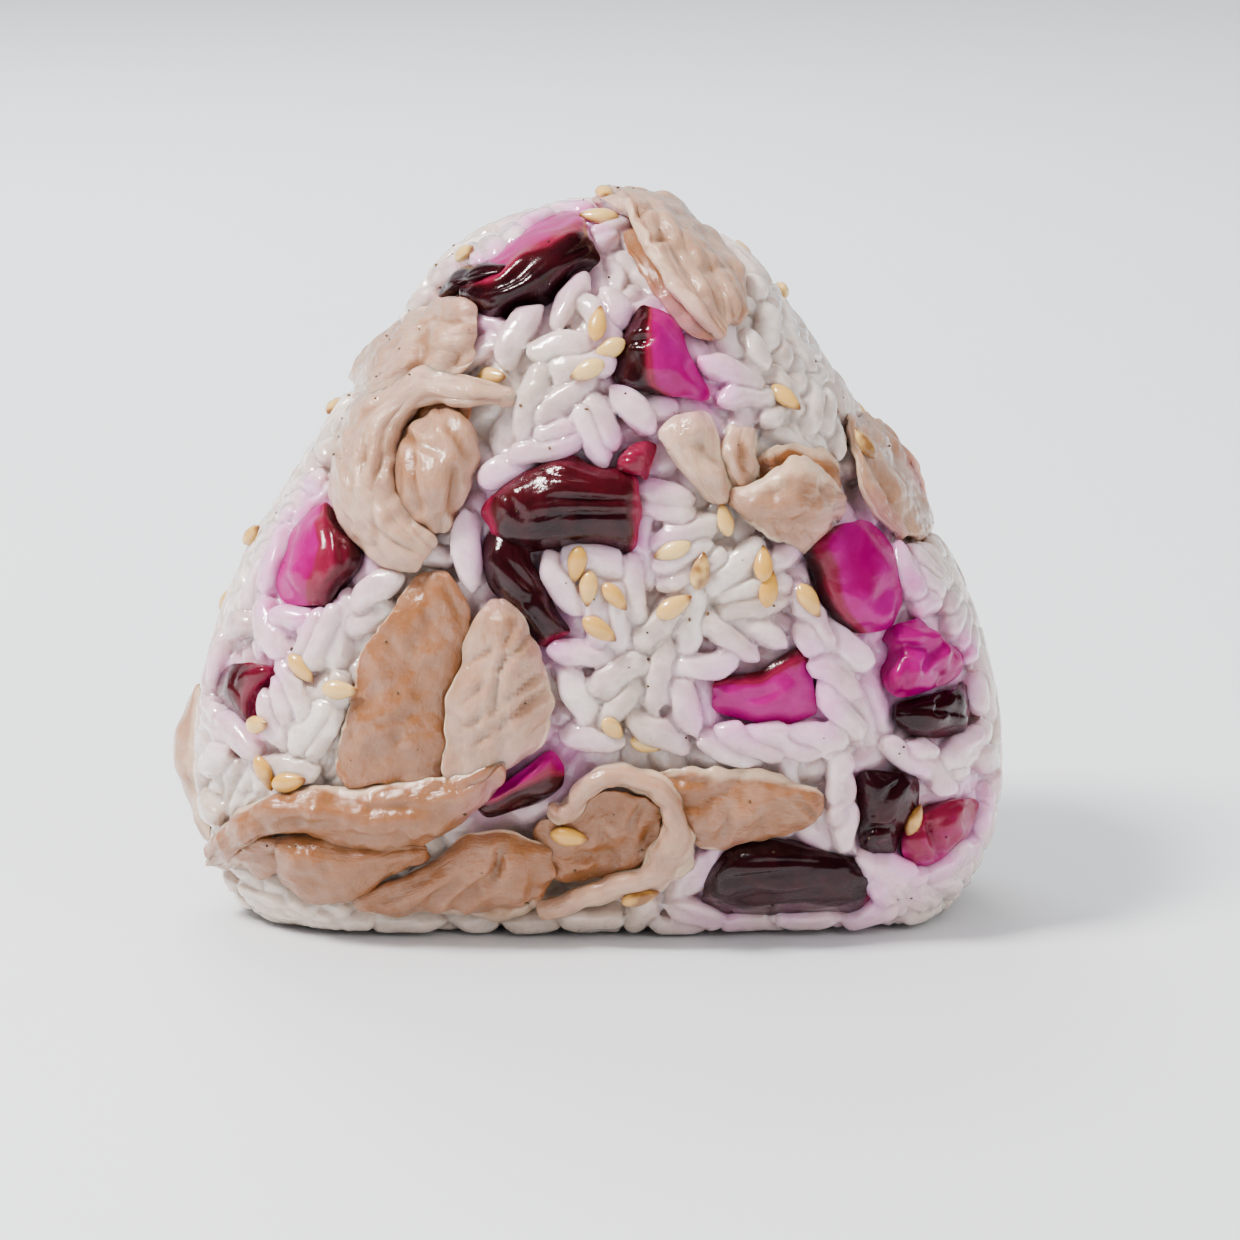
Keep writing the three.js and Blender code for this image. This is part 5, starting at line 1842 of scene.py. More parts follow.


# ---- What lies where ----

# The low tones of the lower slices (pork_fold_band, pork_bulge, pork_bottom_mid, pork_ruffle_bottom,
# pork_bottom_right) are painted shade.
PORK = {
    "pork_top": (Patch(
        # The layer under the top slice; its low tone is painted shade on the underside.
        rungs=((2.2, 31.2, 4.4, 32.6, 1.1, 1.5, 1.6), (3.6, 28.6, 6.4, 30.4, 1.1, 1.5, 1.6),
        (5.6, 25.4, 8.6, 27.4, 1.1, 1.5, 1.6), (8.4, 22, 11.4, 24, 1.1, 1.5, 1.6),
        (11, 20.4, 13, 21.7, 1.1, 1.4, 1.5)), fat=(0, 0), tone=-0.35, ragged=0.08, seed=5,
    ), Patch(
        rungs=((-1.3, 34.7, 1.8, 35.9, 1.8, 2.4, 1.6), (2.2, 33.9, 5.8, 35.2, 3.2, 3.4, 2),
        (3.6, 31.8, 8.9, 33.5, 3.5, 3.9, 1.8), (4.9, 29.4, 11.4, 31, 3.5, 3.7, 1.6),
        (7.2, 25.7, 13.8, 28.3, 3.2, 3.1, 1.5), (9.5, 23, 14.8, 25.4, 2.7, 2.6, 1.4),
        (11.5, 21, 14.7, 22.6, 2, 2.1, 1.4)), behind=(10, 9, 6, 5, 3, 1, 0), fat=(0.8, 0), tone=0.6,
        thickness=1.7, ragged=0.06, seed=3, creases=((5.6, 32.4, 10, 24.6, 0.5, 0.4),
        (6.6, 33.4, 10.8, 31.8, 0.4, 0.3), (3.6, 32.7, 5.4, 33.2, 0.4, 0.6), (4.9, 29.8, 6.6, 30.6, 0.4),
        (10.5, 27.4, 12.6, 27.6, 0.5, 0.3)),
    )),
    "pork_curl": (Patch(
        rungs=((-24.3, 14.6, -24, 18.2, 1, 1.5, 1), (-22, 15, -22.4, 20.2, 1.6, 2.7, 1.2),
        (-19, 16, -19.2, 22.7, 1.8, 3.4, 1.4), (-16, 17, -16, 24.7, 1.8, 3.3, 1.5),
        (-13.6, 17.4, -13.6, 24.7, 1.8, 2.8, 1.6), (-12.4, 18, -11.9, 23.9, 1.4, 1.7, 1.3)),
        behind=(4, 5, 5, 3, 0, 0), tone=0.7, fat=(0, 0.35), seed=13,
        creases=((-17.6, 17.8, -16.7, 23.3, 0.8, 0.6), (-15.8, 22.7, -13.2, 22.3),
        (-19.9, 16.9, -17.4, 18.3, 0.4), (-14.6, 18, -12.6, 20, 0.7), (-20, 20, -18, 21.5, 0.7, 0.3)),
    ), Patch(
        # A dark backing sheet in the crevice inside the curl; its low tone is painted shade.
        rungs=((-12.6, 15.2, -12.6, 12.4, 0.7, 0.9, 0.7), (-17.2, 15, -15.6, 12, 0.7, 0.9, 0.7),
        (-20.6, 12.4, -17.4, 9.8, 0.7, 0.9, 0.7), (-21.4, 8, -17.6, 7, 0.7, 0.9, 0.7),
        (-20.4, 3.6, -16.8, 4.4, 0.7, 0.9, 0.7), (-17.2, 0.8, -15.4, 2.2, 0.7, 0.9, 0.7)), tone=-0.8,
        fat=(0, 0), thickness=0.9, seed=19,
    ), Patch(
        rungs=((-16.6, 13.8, -14.6, 14.1, 0.8, 1.8, 0.8), (-19.2, 11.5, -12.5, 12.2, 0.8, 3.7, 0.9),
        (-20.5, 8.8, -11.9, 9.6, 1.9, 4.5, 0.9), (-20.4, 6.2, -12.5, 6.9, 1.9, 4.5, 0.8),
        (-18.6, 3.4, -13.7, 4.2, 0.9, 3.4, 0.7), (-16.4, 1.3, -15.4, 1.6, 0.6, 1.6, 0.6)), tone=0.45,
        fat=(0, 0), seed=17, creases=((-18.4, 11, -17.4, 4, 0.4, 0.7), (-15.4, 13.4, -13.4, 8.8),
        (-14.4, 8, -14.8, 3.6, 0.4, 0.7), (-18.6, 10.8, -16.2, 9.6, 0.4, 0.4)),
    ), Patch(
        rungs=((-8.6, 15.5, -8.7, 14.7, 1, 1.7, 0.9), (-12, 16.6, -13.2, 14.7, 1.2, 2.5, 1.4),
        (-17, 17.9, -17.2, 14.4, 1.4, 3.4, 1.7), (-21, 15.9, -18.9, 13, 1.4, 4, 1.8),
        (-24.6, 14, -19.7, 10.9, 0.9, 4.4, 1.8), (-26.2, 9.5, -20, 8.2, 0.6, 4.6, 1.8),
        (-26.5, 5.2, -19.9, 5.2, 0.6, 4.6, 1.8), (-24.9, 1.6, -18.5, 3.3, 0.6, 4.2, 1.6),
        (-21.8, -1.5, -16.8, 2, 0.6, 3.6, 1.4), (-18.3, -2.9, -15.6, 0.6, 0.6, 2.3, 1)), tone=0.8,
        fat=(0.15, 0.2), seed=11, creases=((-22.8, 10, -23.4, 6.6, 0.35, 0.7), (-21.6, 9, -22.5, 6),
        (-24.3, 8, -24.2, 2, 0.35, 0.35), (-22.4, 4.6, -21.8, 0.6, 0.4, 0.3),
        (-20.7, 7.6, -19.8, 5.6, 0.5, 0.7), (-24.6, 12, -21, 14.4, 0.5, 0.25),
        (-17, 16.8, -12, 16.4, 0.5, 0.3)),
    )),
    "pork_ruffle_right": (Patch(
        rungs=((15.5, 5, 15.6, 8.8, 1.5, 1.7, 1.5), (18.5, 4.6, 18.8, 10.2, 1.5, 1.5, 1.4),
        (21.8, 4.6, 22.2, 9.8, 1.4, 1.4, 1.3), (24.4, 5, 24, 8.4, 1.2, 1.2, 1.1)), tone=-0.1, fat=(0, 0.4),
        ragged=0.1, seed=27, creases=((16, 9, 16.8, 6.6, 0.5, 0.9),),
    ), Patch(
        rungs=((7.4, 13.2, 11.4, 13.8, 1.2, 1.8, 1.2), (6.4, 11, 12.1, 10.8, 1.4, 3, 1.7),
        (8.2, 8.1, 12.3, 8.1, 1.5, 3, 1.8), (10.1, 5.6, 13.1, 5.9, 1.4, 2.6, 1.6),
        (11.6, 4.3, 13.4, 4.5, 1, 1.5, 1)), tone=0.9, fat=(0.7, 0.4), thickness=1.3, ragged=0.1, seed=23,
        creases=((9.4, 11.6, 11.2, 8.2, 0.6), (8.6, 12.4, 8.7, 10, 0.5, 0.4),
        (10.6, 7.6, 12.2, 5.6, 0.4, 0.35)),
    ), Patch(
        rungs=((13.2, 12.5, 15.9, 12.1, 1.1, 1.8, 1.2), (12.2, 9.4, 15.7, 9.4, 1.4, 3, 1.5),
        (12.8, 7.2, 16, 7.2, 1.4, 2.9, 1.6), (13.5, 5.5, 15.8, 5.8, 1.1, 1.7, 1.1)), tone=0.9,
        fat=(0.5, 0.3), thickness=1.3, ragged=0.12, seed=29, creases=((14.2, 10.8, 14.6, 7),),
    ), Patch(
        rungs=((13.2, 4.5, 13.4, 5.8, 1.4, 1.9, 1.4), (15.6, 2.6, 15.6, 6.2, 1.6, 3.9, 3.4),
        (18, 1.1, 18.1, 7.9, 1.6, 4.7, 4), (20.4, 0.6, 20.3, 9.2, 1.6, 4.9, 4),
        (22.7, 1.3, 22.2, 7.6, 1.6, 3.8, 3.2), (25.2, 3.8, 23.9, 5.2, 1.2, 1.8, 1.4)), tone=0.4,
        fat=(0.25, 1.1), thickness=1.2, ragged=0.13, seed=31, creases=((16.2, 3, 23.6, 2.8, 0.5, 0.4),
        (22, 6.4, 22.3, 5.2, 0.5, 0.6), (17.6, 2.4, 18.4, 1.2, 0.3, 0.3), (20.6, 2.4, 21, 1, 0.3, 0.3)),
    )),
    "pork_side_right": (Patch(
        rungs=((24.6, 13.2, 28.2, 13.4, 1.3, 1.7, 1.2), (25.4, 9.4, 30.8, 9.8, 1.4, 2.1, 1.4),
        (26, 6.2, 32.5, 6.4, 1.5, 2.1, 1.4), (27.6, 3.4, 33.2, 3, 1.5, 2, 1.3),
        (29.6, 1.2, 32.9, 0.8, 1.2, 1.5, 1.1)), behind=(5, 5, 4, 4, 3), tone=0.5, fat=(0.3, 0.3), seed=37,
        creases=((26.8, 9, 30.6, 2, 0.5, 0.45), (28.6, 9.4, 32, 3, 0.5, 0.45),
        (25.8, 12, 27.6, 9.6, 0.5, 0.3)),
    ),),
    "pork_leaf": (Patch(
        rungs=((-18.3, -2.2, -14.3, -2.4, 1.1, 1.7, 1.2), (-20.6, -6.5, -12.7, -6.4, 1.3, 2, 1.4),
        (-23.4, -10.2, -13.2, -10.6, 1.4, 2.1, 1.2), (-24.6, -14.5, -14, -14.8, 1.5, 2.1, 1),
        (-25.7, -19, -14.5, -19.2, 1.6, 2.1, 1), (-27.2, -23.4, -14.8, -24, 1.5, 2, 1)), tone=-0.1,
        fat=(0.1, 0), ragged=0.06, seed=47, creases=((-24.2, -18.3, -18.6, -16.4, 0.4, 0.22),
        (-17.4, -3.6, -16.6, -9.4, 0.5, 0.25), (-15.2, -3.4, -13.4, -8, 0.5, 0.3),
        (-20.4, -8, -20.2, -14, 0.6, 0.2)),
    ),),
    # From here down the slices lie low on the body, and their low tones are painted shade.
    "pork_fold_band": (Patch(
        rungs=((-38.8, -31.9, -38.4, -30.6, 1.2, 1.7, 1.8), (-36, -31.6, -35.8, -29.6, 1.2, 2, 2.1),
        (-33.2, -32.4, -33.3, -28.9, 1, 2, 2.3), (-30.6, -31.4, -30.6, -28.8, 0.9, 1.6, 1.9)), tone=-0.3,
        fat=(0, 0), ragged=0.12, seed=45,
    ), Patch(
        rungs=((-11.1, -5.2, -8.8, -4.9, 1.3, 1.8, 1.3), (-12.6, -8, -7, -7.9, 1.7, 3, 1.5),
        (-13.6, -12, -5.2, -11.8, 1.9, 3.4, 1.5), (-14.9, -16, -4.6, -15.5, 2.1, 3.4, 1.5),
        (-15.4, -20, -5.4, -19.2, 2.2, 3.2, 1.5), (-15.6, -23.6, -7.8, -21.6, 2.2, 3, 1.4)), tone=0.6,
        fat=(0.1, 0.2), seed=41, creases=((-8.7, -7.9, -9.6, -12.1, 0.35),
        (-9.7, -12.1, -10.6, -17.5, 0.35, 0.55), (-7.2, -8.6, -9.4, -11.7, 0.35, 0.55),
        (-5.9, -12.4, -9, -14.9, 0.35), (-4.7, -13.4, -9.8, -17.6, 0.4, 0.6),
        (-13, -11.6, -10, -9.9, 0.35, 0.4), (-13.3, -15.4, -10.9, -13.3, 0.4, 0.45),
        (-13.6, -18, -10.9, -16.2, 0.35, 0.4), (-12.4, -19.6, -10, -17.9, 0.35, 0.4)),
    ), Patch(
        rungs=((-39.2, -32.3, -38.7, -29.5, 1.6, 2.7, 1.6), (-36.2, -30.4, -36, -26.6, 2.4, 4, 1.7),
        (-32.5, -28.3, -32.6, -24.8, 2.8, 4.4, 1.6), (-28.5, -28.5, -28.6, -24.1, 2.2, 4.6, 1.6),
        (-24, -29.4, -24, -24.3, 1.7, 4.4, 1.6), (-19.5, -29.9, -19, -23.4, 1.4, 4.3, 1.7),
        (-16, -28.9, -14.6, -22.7, 1.4, 4.1, 2.2), (-12.6, -26.4, -11.5, -21.6, 1.4, 3.5, 2.6),
        (-9.6, -23.8, -9, -20.2, 1.2, 2.8, 2.4)), tone=-0.35, fat=(0, 0.45), seed=43,
        creases=((-34, -27.2, -25.6, -27.4, 0.5, 0.45), (-27, -28.2, -19.6, -28.6, 0.4, 0.4),
        (-24.6, -26, -16.6, -26.2, 0.5, 0.35), (-31, -25.4, -24, -25.6, 0.4, 0.25),
        (-18, -24.6, -13, -23.6, 0.5, 0.3)),
    )),
    "pork_bulge": (Patch(
        rungs=((-32.3, -32, -32, -28.8, 1.4, 2.2, 1.4), (-30.2, -34.4, -29.8, -28.5, 1.2, 3.8, 1.4),
        (-27, -35.4, -27, -28.5, 1.2, 4, 1.2), (-23.9, -34.7, -23.3, -28.8, 1, 3.5, 1.1),
        (-20.6, -32.4, -20.1, -29.1, 1, 2.5, 1.1), (-16.8, -31.2, -16.8, -29.5, 0.9, 1.5, 0.9)), tone=-0.9,
        fat=(0, 0), seed=67, creases=((-31, -31, -27.6, -34.4, 0.7, 0.3), (-26, -30, -19.6, -30.2, 0.4, 0.3),
        (-24.6, -33.4, -22.2, -31.6, 0.5, 0.3)),
    ),),
    "pork_bottom_mid": (Patch(
        rungs=((-24.4, -36, -24, -35.2, 1, 1.4, 1), (-21, -36.5, -20.4, -33.5, 1, 2.5, 1.2),
        (-16.8, -36.1, -16.1, -31.2, 1, 3.3, 1.4), (-12.6, -36.6, -12.1, -28.3, 1, 3.5, 1.4),
        (-8.4, -36.5, -7.9, -28.6, 1, 3.3, 1.3), (-4.4, -34.6, -4.2, -29.6, 0.9, 2.1, 1.1)), tone=-0.2,
        fat=(0.5, 0.2), ragged=0.09, seed=61, creases=((-15.4, -36, -9.6, -31.8, 0.5, 0.7),
        (-18.4, -36, -13.8, -32.8), (-10.4, -33.4, -9.4, -28.8, 0.5, 0.6),
        (-6.8, -35.6, -6.4, -31.4, 0.5, 0.4), (-22.4, -35.6, -17.4, -33, 0.4, 0.35)),
    ),),
    "pork_ruffle_bottom": (Patch(
        rungs=((-6.5, -31.5, -6, -26.6, 1, 1.3, 1.2), (-3, -33.2, -2.6, -26.6, 1.2, 1.4, 1.5),
        (0.5, -32.9, 0.6, -23.8, 1.3, 1.3, 1.8), (3.8, -32, 3.8, -24.2, 1.5, 1.3, 2),
        (6, -30, 6.8, -25.2, 1.8, 1.8, 2.2)), tone=-0.2, fat=(0, 0), seed=53,
        creases=((3.3, -27.6, 4.6, -24.8, 0.4), (4.4, -29.8, 5.8, -27.6), (-0.6, -26, 1.8, -31.4, 0.5, 0.4),
        (-5, -30, 2, -30.6)),
    ), Patch(
        rungs=((-5.3, -26.4, -5, -25.3, 1.4, 2, 1.2), (-3.8, -27.5, -3.5, -25.9, 1.7, 2.9, 1.3),
        (-2.2, -26.6, -2.8, -25, 1.7, 2.9, 1.3), (-1, -24.9, -1.7, -23.3, 1.7, 2.9, 1.3),
        (0.8, -23.8, 0.8, -22.1, 1.8, 3.1, 1.3), (3.2, -24, 3.5, -22.1, 1.8, 3.4, 1.4),
        (5.4, -25, 6.7, -23.3, 2, 3.7, 1.6), (6.6, -26.8, 8.8, -26, 2.1, 3.9, 1.8),
        (6.3, -28.6, 9.6, -29.4, 2, 3.9, 1.8), (5, -30, 8.6, -31.8, 1.8, 3.7, 1.6),
        (4.2, -31.9, 6, -34, 1.8, 3.5, 1.6), (1.6, -32.8, 2.2, -34.8, 1.8, 3.3, 1.6),
        (-1.4, -33.9, -0.9, -35.6, 1.7, 2.9, 1.5), (-4, -35.1, -3.7, -36.5, 1.4, 2.5, 1.3),
        (-6, -35.5, -6, -36.6, 1.2, 1.7, 1)), tone=0.6, fat=(0.5, 0.5), thickness=1.1, ragged=0.12, seed=55,
        relief=Relief.PLEATS,
    )),
    "pork_bottom_right": (Patch(
        rungs=((7.6, -25.6, 5.2, -22.2, 1.2, 1.7, 1.1), (9.6, -29.3, 9, -21.8, 1.3, 2.3, 1.4),
        (12.6, -29.9, 12.9, -22, 1.4, 2.5, 1.4), (16.2, -29.2, 16.6, -22.3, 1.4, 2.4, 1.3),
        (19.6, -28.5, 20.1, -23.5, 1.2, 1.9, 1.1), (22.4, -27.2, 22.8, -24.1, 1, 1.3, 1)), tone=0.0,
        fat=(0.1, 0.5), ragged=0.07, seed=59, relief=Relief.PLEATS, depth=0.12,
        creases=((19.9, -25, 22, -27, 0.3), (12, -28.8, 13.6, -26), (15.6, -28.4, 16.6, -26),
        (6.4, -23, 11, -23.4, 0.4)),
    ),),
    "pork_left_edge": (Fold(
        spine=((-38.5, 4, 20.5), (-40, 3, 13.5), (-37, 2, 6.5)), width=(2, 3, 2.2),
        levels=(2.6, (2.2, 3.4, 2.6), 1.4), tone=0.55, seed=71,
    ),),
    "pork_back_wide": (Fold(
        spine=((17, 21, 17), (10, 22, 24), (3, 22, 31.5), (-3, 22, 38)), width=(3.5, 6.6, 7, 4),
        levels=(1.5, 2.1, 1.6), ruffle=0.4, relief=Relief.VEINS, depth=0.6, tone=0.2, seed=73,
    ),),
    "pork_back_curl": (Fold(
        spine=((-9, 19, 62), (-14, 17, 57), (-17.5, 17, 51), (-17, 19, 46)), width=(2, 4, 4.2, 2.6),
        levels=(1.5, (2.2, 3.6, 3.6, 2.4), 1.6), relief=Relief.RIDGES, depth=0.5, tone=0.7, seed=79,
    ),),
    "pork_back_ruffle": (Fold(
        spine=((-29, 18, 9), (-22, 20, 11), (-14, 20, 12), (-7, 20, 10)), width=(2.6, 4.6, 4.8, 3),
        levels=(3.2, 1.6, 2.8), ruffle=0.6, waves=2.5, relief=Relief.PLEATS, depth=0.4, ragged=0.1, tone=0.4,
        seed=83,
    ),),
    "pork_back_top": (Fold(
        spine=((14, 15, 61), (19, 14, 55), (23, 14, 48)), width=(2.6, 4.4, 3), levels=(1.5, 2.2, 2),
        tone=0.5, seed=89,
    ),),
    "pork_right_low": (Fold(
        spine=((30, 15, 27), (32, 14, 19), (29, 14, 11)), width=(2.6, 4.2, 3), levels=(2.4, 2.2, 1.5),
        relief=Relief.RIDGES, depth=0.4, tone=0.4, seed=97,
    ),),
}

PICKLES = (
    PickleWedge(node="pickle_top_corner", rungs=((-16.1, 24.9, -15.7, 26.2, 0.8, 1.2, 0.8),
        (-14.4, 26, -14.1, 27.9, 1.6, 2.7, 1.5), (-12.4, 26.4, -12.1, 28.5, 2, 3.6, 1.8),
        (-10.2, 26.9, -9.9, 28.5, 2.4, 3.9, 2.2), (-8.8, 27.6, -8.5, 28.3, 2.4, 3.1, 2.3)), thick=2.5,
        seed=2),
    PickleWedge(node="pickle_top_left", rungs=((-14.2, 24.9, -13.9, 27, 0.7, 1.9, 1.1),
        (-11, 22.7, -10.6, 29, 0.7, 3.6, 1.8), (-8, 24, -7.4, 31.7, 0.8, 3.8, 1.5),
        (-5, 25, -4.2, 33.6, 0.9, 3.9, 1.4), (-2.2, 27.5, -2, 34.1, 0.9, 3.6, 1.3),
        (0.5, 28.2, -1.2, 33, 0.7, 1.9, 0.8)), skin=(1, 1, 1, 0.45, 0), seed=1,
        creases=((-9, 26.4, -6, 28.6, 0.6), (-12, 25.6, -7.4, 27, 0.4, 0.35),
        (-3.4, 29, -0.6, 30.4, 0.4, 0.25))),
    PickleWedge(node="pickle_upper", rungs=((4.2, 24.4, 7, 23.6, 0.8, 1.7, 0.8),
        (3.3, 22.6, 8.2, 22.3, 0.9, 3.5, 1), (2.3, 20.6, 9.1, 19.9, 0.9, 3.6, 1.1),
        (1.9, 18.6, 10.2, 17.5, 0.9, 3.2, 1.1), (1.8, 16.5, 11.1, 15.8, 0.7, 2.4, 1),
        (3.6, 15.7, 11.7, 14.4, 0.5, 1.5, 0.7)), skin=(1, 1, 0.4, 0, 0), seed=3,
        creases=((3.3, 20.4, 5.4, 20.9, 0.4),)),
    PickleWedge(node="pickle_left", rungs=((-28.3, 4.2, -26.8, 4.7, 0.8, 1.8, 0.9),
        (-30.4, 2.2, -25.7, 2.2, 0.9, 3.3, 1.1), (-31.3, -0.2, -23.8, 0, 0.9, 3.6, 0.9),
        (-32.2, -2.8, -24, -1.9, 0.9, 3.5, 0.9), (-31.8, -4.8, -26, -4.3, 0.8, 2.5, 0.8),
        (-31, -5.7, -26.6, -5.7, 0.5, 1.3, 0.6)), skin=(0, 0, 0.52, 0.75, 0.9), seed=4,
        creases=((-25.8, 1.2, -25.4, -1.6, 0.4, 0.35), (-27.2, 1, -27, -2.4, 0.4, 0.25))),
    PickleWedge(node="pickle_centre", rungs=((-10, -0.2, -11.7, 4.4, 0.7, 1.6, 0.8),
        (-8.9, -0.5, -9.2, 6.3, 0.8, 3.4, 1.3), (-6.6, -0.6, -6.6, 8, 0.9, 4, 1.4),
        (-3.4, -0.1, -3.4, 9.2, 0.9, 4.1, 1.5), (0, -0.1, 0, 8.1, 0.9, 4.1, 1.5),
        (2.6, -0.5, 2.6, 7.9, 0.9, 3.9, 1.4), (4, -0.5, 4.6, 7.2, 0.7, 2.1, 1)),
        skin=(1, 1, 0.92, 0.84, 0.8), cut_ends=(True, True), seed=5, creases=((-6, 3.1, 3.8, 3.3, 0.35, 0.4),
        (-5, 4.9, 4, 4.6, 0.3), (-5.8, 7.8, -0.8, 6.6, 0.35, 0.4), (-9.4, 5.6, -7.6, 3, 0.45, 0.4),
        (-7, 1.6, -3, 2.4, 0.3, 0.3))),
    PickleWedge(node="pickle_centre_tip", rungs=((1.9, 7.9, 2, 8.6, 1.1, 1.5, 1.2),
        (3, 7.4, 3.1, 10, 1.5, 3, 1.3), (4.4, 6.9, 4.7, 10.6, 1.5, 3, 1.2),
        (5, 6.4, 6.2, 10.4, 0.8, 1.5, 0.8)), skin=0.64, thick=3, seed=6),
    PickleWedge(node="pickle_strip", rungs=((-11.2, 1.9, -6.4, 0.4, 0.7, 1.9, 0.7),
        (-11.6, -0.8, -6.5, -1.4, 0.8, 2.9, 0.9), (-11, -3.8, -5.2, -3.6, 0.8, 3, 0.9),
        (-8.9, -6, -4.2, -6.1, 0.8, 3, 0.9), (-7.2, -8.4, -2.9, -7.9, 0.8, 2.5, 0.8),
        (-5.8, -10, -2.6, -8.6, 0.5, 1.1, 0.5)), cut_ends=(False, True), seed=7,
        creases=((-9.6, -1, -6, -4.6, 0.4, 0.3), (-8.2, -5.9, -6, -5, 0.4, 0.3))),
    PickleWedge(node="pickle_disc", rungs=((23.4, 2.2, 27.2, 3, 0.9, 2, 0.9),
        (20.6, 0.3, 29, 1, 0.6, 3.2, 1), (21.4, -2.6, 30.4, -1.8, 0.6, 3.4, 1.1),
        (22.2, -5.4, 30.6, -4.6, 0.6, 3.3, 1.1), (24.2, -7.6, 30, -6.8, 0.6, 2.7, 1),
        (25.6, -8.7, 29.8, -8, 0.5, 1.4, 0.6)), skin=(1, 0.5, 0, 0, 0), seed=8),
    PickleWedge(node="pickle_right_pink", rungs=((29.4, -7.6, 32.6, -7, 0.9, 1.7, 0.9),
        (29.2, -9.2, 33.8, -8.6, 0.9, 3, 1.1), (29.6, -11, 36.5, -10.4, 0.9, 3.1, 1.1),
        (28.6, -13.2, 36.4, -12.2, 0.9, 3, 1.1), (29.6, -15.2, 35.2, -13.6, 0.7, 1.5, 0.8)), skin=0, seed=9,
        crumple=0.25, creases=((30.2, -9.9, 33.6, -9.9, 0.5, 0.8), (32.6, -11.8, 34, -10, 0.4, 0.6),
        (30.4, -14.2, 31.3, -11.4, 0.4))),
    PickleWedge(node="pickle_right_dark", rungs=((29.7, -17.7, 30, -15.4, 0.7, 1.5, 0.7),
        (31.6, -18.7, 31.6, -15, 0.8, 2.9, 1.1), (34.2, -18.9, 34.2, -14.3, 0.8, 3, 1.1),
        (36.4, -18.4, 36.6, -13.5, 0.7, 2.1, 0.9), (37.2, -17.6, 37.2, -14.6, 0.4, 0.9, 0.4)), seed=10,
        creases=((34.6, -14.2, 34.2, -16.4, 0.4, 0.6), (31, -16, 36.6, -16.4, 0.3, 0.25))),
    PickleWedge(node="pickle_mid_right", rungs=((11.4, -16.3, 11.6, -13.1, 0.5, 1.2, 0.6),
        (13.2, -16.8, 13.6, -12.7, 0.7, 2, 0.9), (16.2, -17.6, 16.6, -12.2, 0.8, 2.3, 1.2),
        (19.4, -17.6, 19.6, -10, 0.8, 2.2, 1.1), (22.6, -16.8, 20.5, -9.6, 0.5, 1.1, 0.6)),
        skin=(0.3, 0.2, 0.36, 0.85), seed=11),
    PickleWedge(node="pickle_low_right", rungs=((26, -22.1, 32, -22.4, 0.8, 2, 0.9),
        (25.9, -23.8, 32.2, -24.1, 0.9, 3.4, 1.1), (26.3, -26.4, 31.8, -26.4, 0.9, 3.4, 1.1),
        (26.1, -28.8, 30.3, -28.6, 0.9, 3, 1), (26.4, -30.4, 29.9, -30.8, 0.5, 1.2, 0.6)), seed=12,
        creases=((26.4, -28.2, 30.2, -28, 0.4, 0.6), (27.6, -26.2, 31, -22.6, 0.4, 0.35))),
    PickleWedge(node="pickle_right_corner", rungs=((30.2, -30.8, 31, -27.6, 0.7, 1.5, 0.8),
        (32.4, -31.8, 32.7, -26.5, 0.8, 2.6, 1.1), (34.4, -30.9, 34.7, -25.6, 0.8, 2.4, 1.1),
        (36.6, -29, 36.8, -24.9, 0.7, 1.7, 0.9), (37.5, -27.6, 38.2, -25, 0.4, 0.8, 0.4)),
        skin=(0.42, 0.48, 0.5, 0.55), seed=13, crumple=0.15, creases=((33, -26.8, 34, -30.4, 0.4, 0.8),)),
    PickleWedge(node="pickle_bottom", rungs=((10.3, -36, 10.6, -32.6, 0.6, 1.5, 0.7),
        (12.4, -36.5, 12.8, -30.3, 0.7, 3.4, 1.2), (16, -36.7, 16.2, -29.1, 0.8, 3.8, 1.3),
        (20, -36.7, 20, -29.8, 0.8, 3.8, 1.2), (23.4, -36.2, 24.2, -30.8, 0.7, 3.2, 1.1),
        (25.9, -36.5, 27.4, -31.8, 0.5, 1.8, 0.8), (26.9, -35.5, 28.2, -32.8, 0.3, 0.8, 0.4)),
        cut_ends=(False, True), seed=14, creases=((13, -33.2, 22, -31.9, 0.35, 0.35),
        (14, -35, 23, -34.2, 0.35, 0.35), (14, -31.4, 24, -31.4, 0.3, 0.25))),
    PickleWedge(node="pickle_left_small", rungs=((-37, -11.5, -34, -11.4, 0.7, 1.5, 0.8),
        (-37.9, -12.8, -32.3, -12.1, 0.7, 2.5, 0.9), (-38.1, -14.4, -33.7, -13.9, 0.7, 2.4, 0.9),
        (-37, -15.8, -34.6, -15.4, 0.7, 1.8, 0.8), (-35.4, -17.3, -34.7, -17, 0.5, 0.9, 0.5)),
        skin=(1, 0.85, 0.75, 0.6), thick=3, seed=15),
    PickleWedge(node="pickle_sliver", rungs=((-12.2, -26.1, -12, -25.1, 0.7, 1.2, 0.9),
        (-10.8, -26.9, -10, -24, 1, 3.1, 1.8), (-8, -26.1, -7.2, -22, 1.1, 3.4, 2),
        (-5.2, -25.1, -4.8, -20.4, 1, 3.2, 1.6), (-3.4, -24, -3.3, -21.4, 0.6, 1.4, 0.7)),
        skin=(1, 0.9, 0.42, 0.1), thick=3, seed=16),
    PickleChunk(node="pickle_back_high", at=(1, 19, 60), turn=15, length=13, width=8.4, thick=7, top=2.8,
        seed=17),
    PickleChunk(node="pickle_back_right", at=(22, 20, 35), turn=-70, length=14, width=8, thick=7, top=2.8,
        taper=0.35, ends=(End.TIP, End.CUT), skinned=(True, False), seed=18),
    PickleChunk(node="pickle_back_disc", at=(-23, 20, 29), turn=90, length=7, width=9, thick=11, top=2.4,
        stand=84, cut=1, taper=0.12, seed=19),
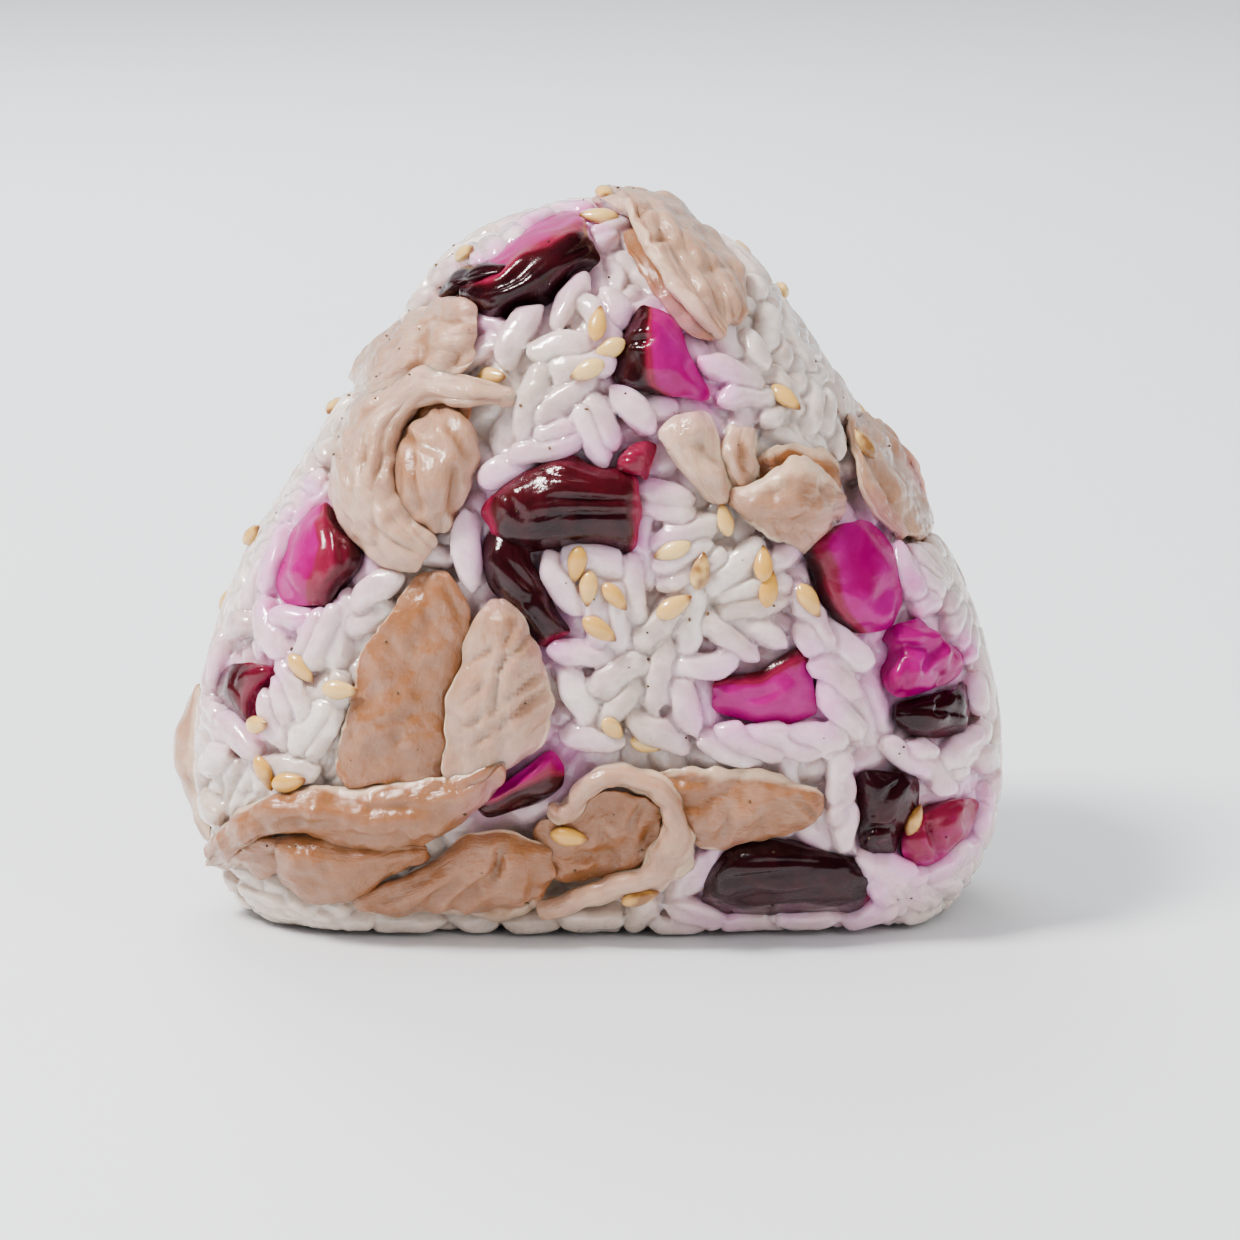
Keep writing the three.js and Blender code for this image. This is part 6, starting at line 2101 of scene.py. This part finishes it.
    PickleChunk(node="pickle_back_left", at=(-24, 17.5, 39), turn=65, length=11, width=7, thick=6.5, top=2.6,
        roll=150, seed=20),
    PickleChunk(node="pickle_back_low", at=(21, 19, 8.5), turn=8, length=15, width=7.4, thick=7, top=2.8,
        taper=0.4, ends=(End.CUT, End.TIP), skinned=(False, True), seed=21),
    PickleChunk(node="pickle_back_middle", at=(-9, 22.5, 26), turn=-35, length=11, width=6, thick=6, top=2.4,
        roll=60, seed=22),
    PickleChunk(node="pickle_left_side", at=(-34, 11, 27), turn=-75, length=9, width=6, thick=6, top=2.2,
        seed=23),
    PickleChunk(node="pickle_right_side", at=(30, 10, 38), turn=-62, length=10, width=6.4, thick=6, top=2.3,
        roll=-150, seed=24),
)

# Seeds on the front: across and up as they are seen, the turn of the tip in degrees, and 1 if it
# is toasted.
FRONT_SEEDS = (
    (7.9, -0.2, 200), (10.7, -2.2, 80, 1), (-2.1, -1.4, 260), (-0.9, -4.0, 265), (1.9, -4.8, -50),
    (8.1, -5.9, 30), (0.3, -8.2, -35), (17.0, -1.7, 90), (17.5, -4.1, 80), (21.6, -5.5, -60),
    (13.1, 3.0, 100), (1.6, -18.6, -60), (5.1, -20.8, -20), (-2.8, -29.2, 0), (32.0, -27.5, 80, 1),
    (0.1, 22.6, 80), (1.1, 20.4, 215), (-1.0, 18.2, 205), (0.6, 34.1, 180), (0.1, 32.8, 175),
    (18.6, 15.0, -65), (25.8, 9.7, 95, 1), (-11.0, 18.0, 0), (-34.3, 0.5, 45), (-37.1, -5.7, 60),
    (-30.0, -12.4, -45), (-26.0, -14.4, 0), (-33.8, -18.0, 15), (-33.2, -22.7, -70, 1), (-31.1, -23.7, 15),
    (4.4, -34.4, 15, 1), (-12.6, 29.3, 40),
)


def covers_of(chunks: list[Shell]) -> tuple[Array, Array]:
    """Points in the toppings that grains keep off.

    Args:
        chunks: the pickles' shells.

    Returns:
        The points, and the topping's radius round each.
    """
    sheets = [layer.samples() for layers in PORK.values() for layer in layers]
    inner = []
    for shell in chunks:
        middle = shell.points.mean(0)
        inner += [middle + (shell.points[::9] - middle) * 0.86,
                  middle + (shell.points[::17] - middle) * 0.5]
    points = np.concatenate(sheets + inner)
    thin = sum(len(sheet) for sheet in sheets)
    pork_radius, pickle_radius = 0.85, 0.8
    return points, np.where(np.arange(len(points)) < thin, pork_radius, pickle_radius)


def main() -> None:
    """Builds the onigiri and its studio."""
    logging.basicConfig(level=logging.INFO, format="%(name)s %(message)s")
    Studio().build()
    pickle_finish = PickleFinish().material()
    shells = [chunk.shell() for chunk in PICKLES]
    chunks = [chunk.build(shell, pickle_finish) for chunk, shell in zip(PICKLES, shells)]
    stain = Stain.of(shells)
    pork_finish = PorkFinish().material()
    slices = [PorkSlice(*row).build(stain, pork_finish) for row in PORK.items()]
    rice = RiceHeap().build(*covers_of(shells), stain, RiceFinish().material())
    ground = Ground.of([rice] + slices + chunks)
    SeedScatter(front=FRONT_SEEDS).build(ground, SeedFinish().material())
    PepperScatter().build(ground, PepperFinish().material())


if __name__ == "__main__":
    main()
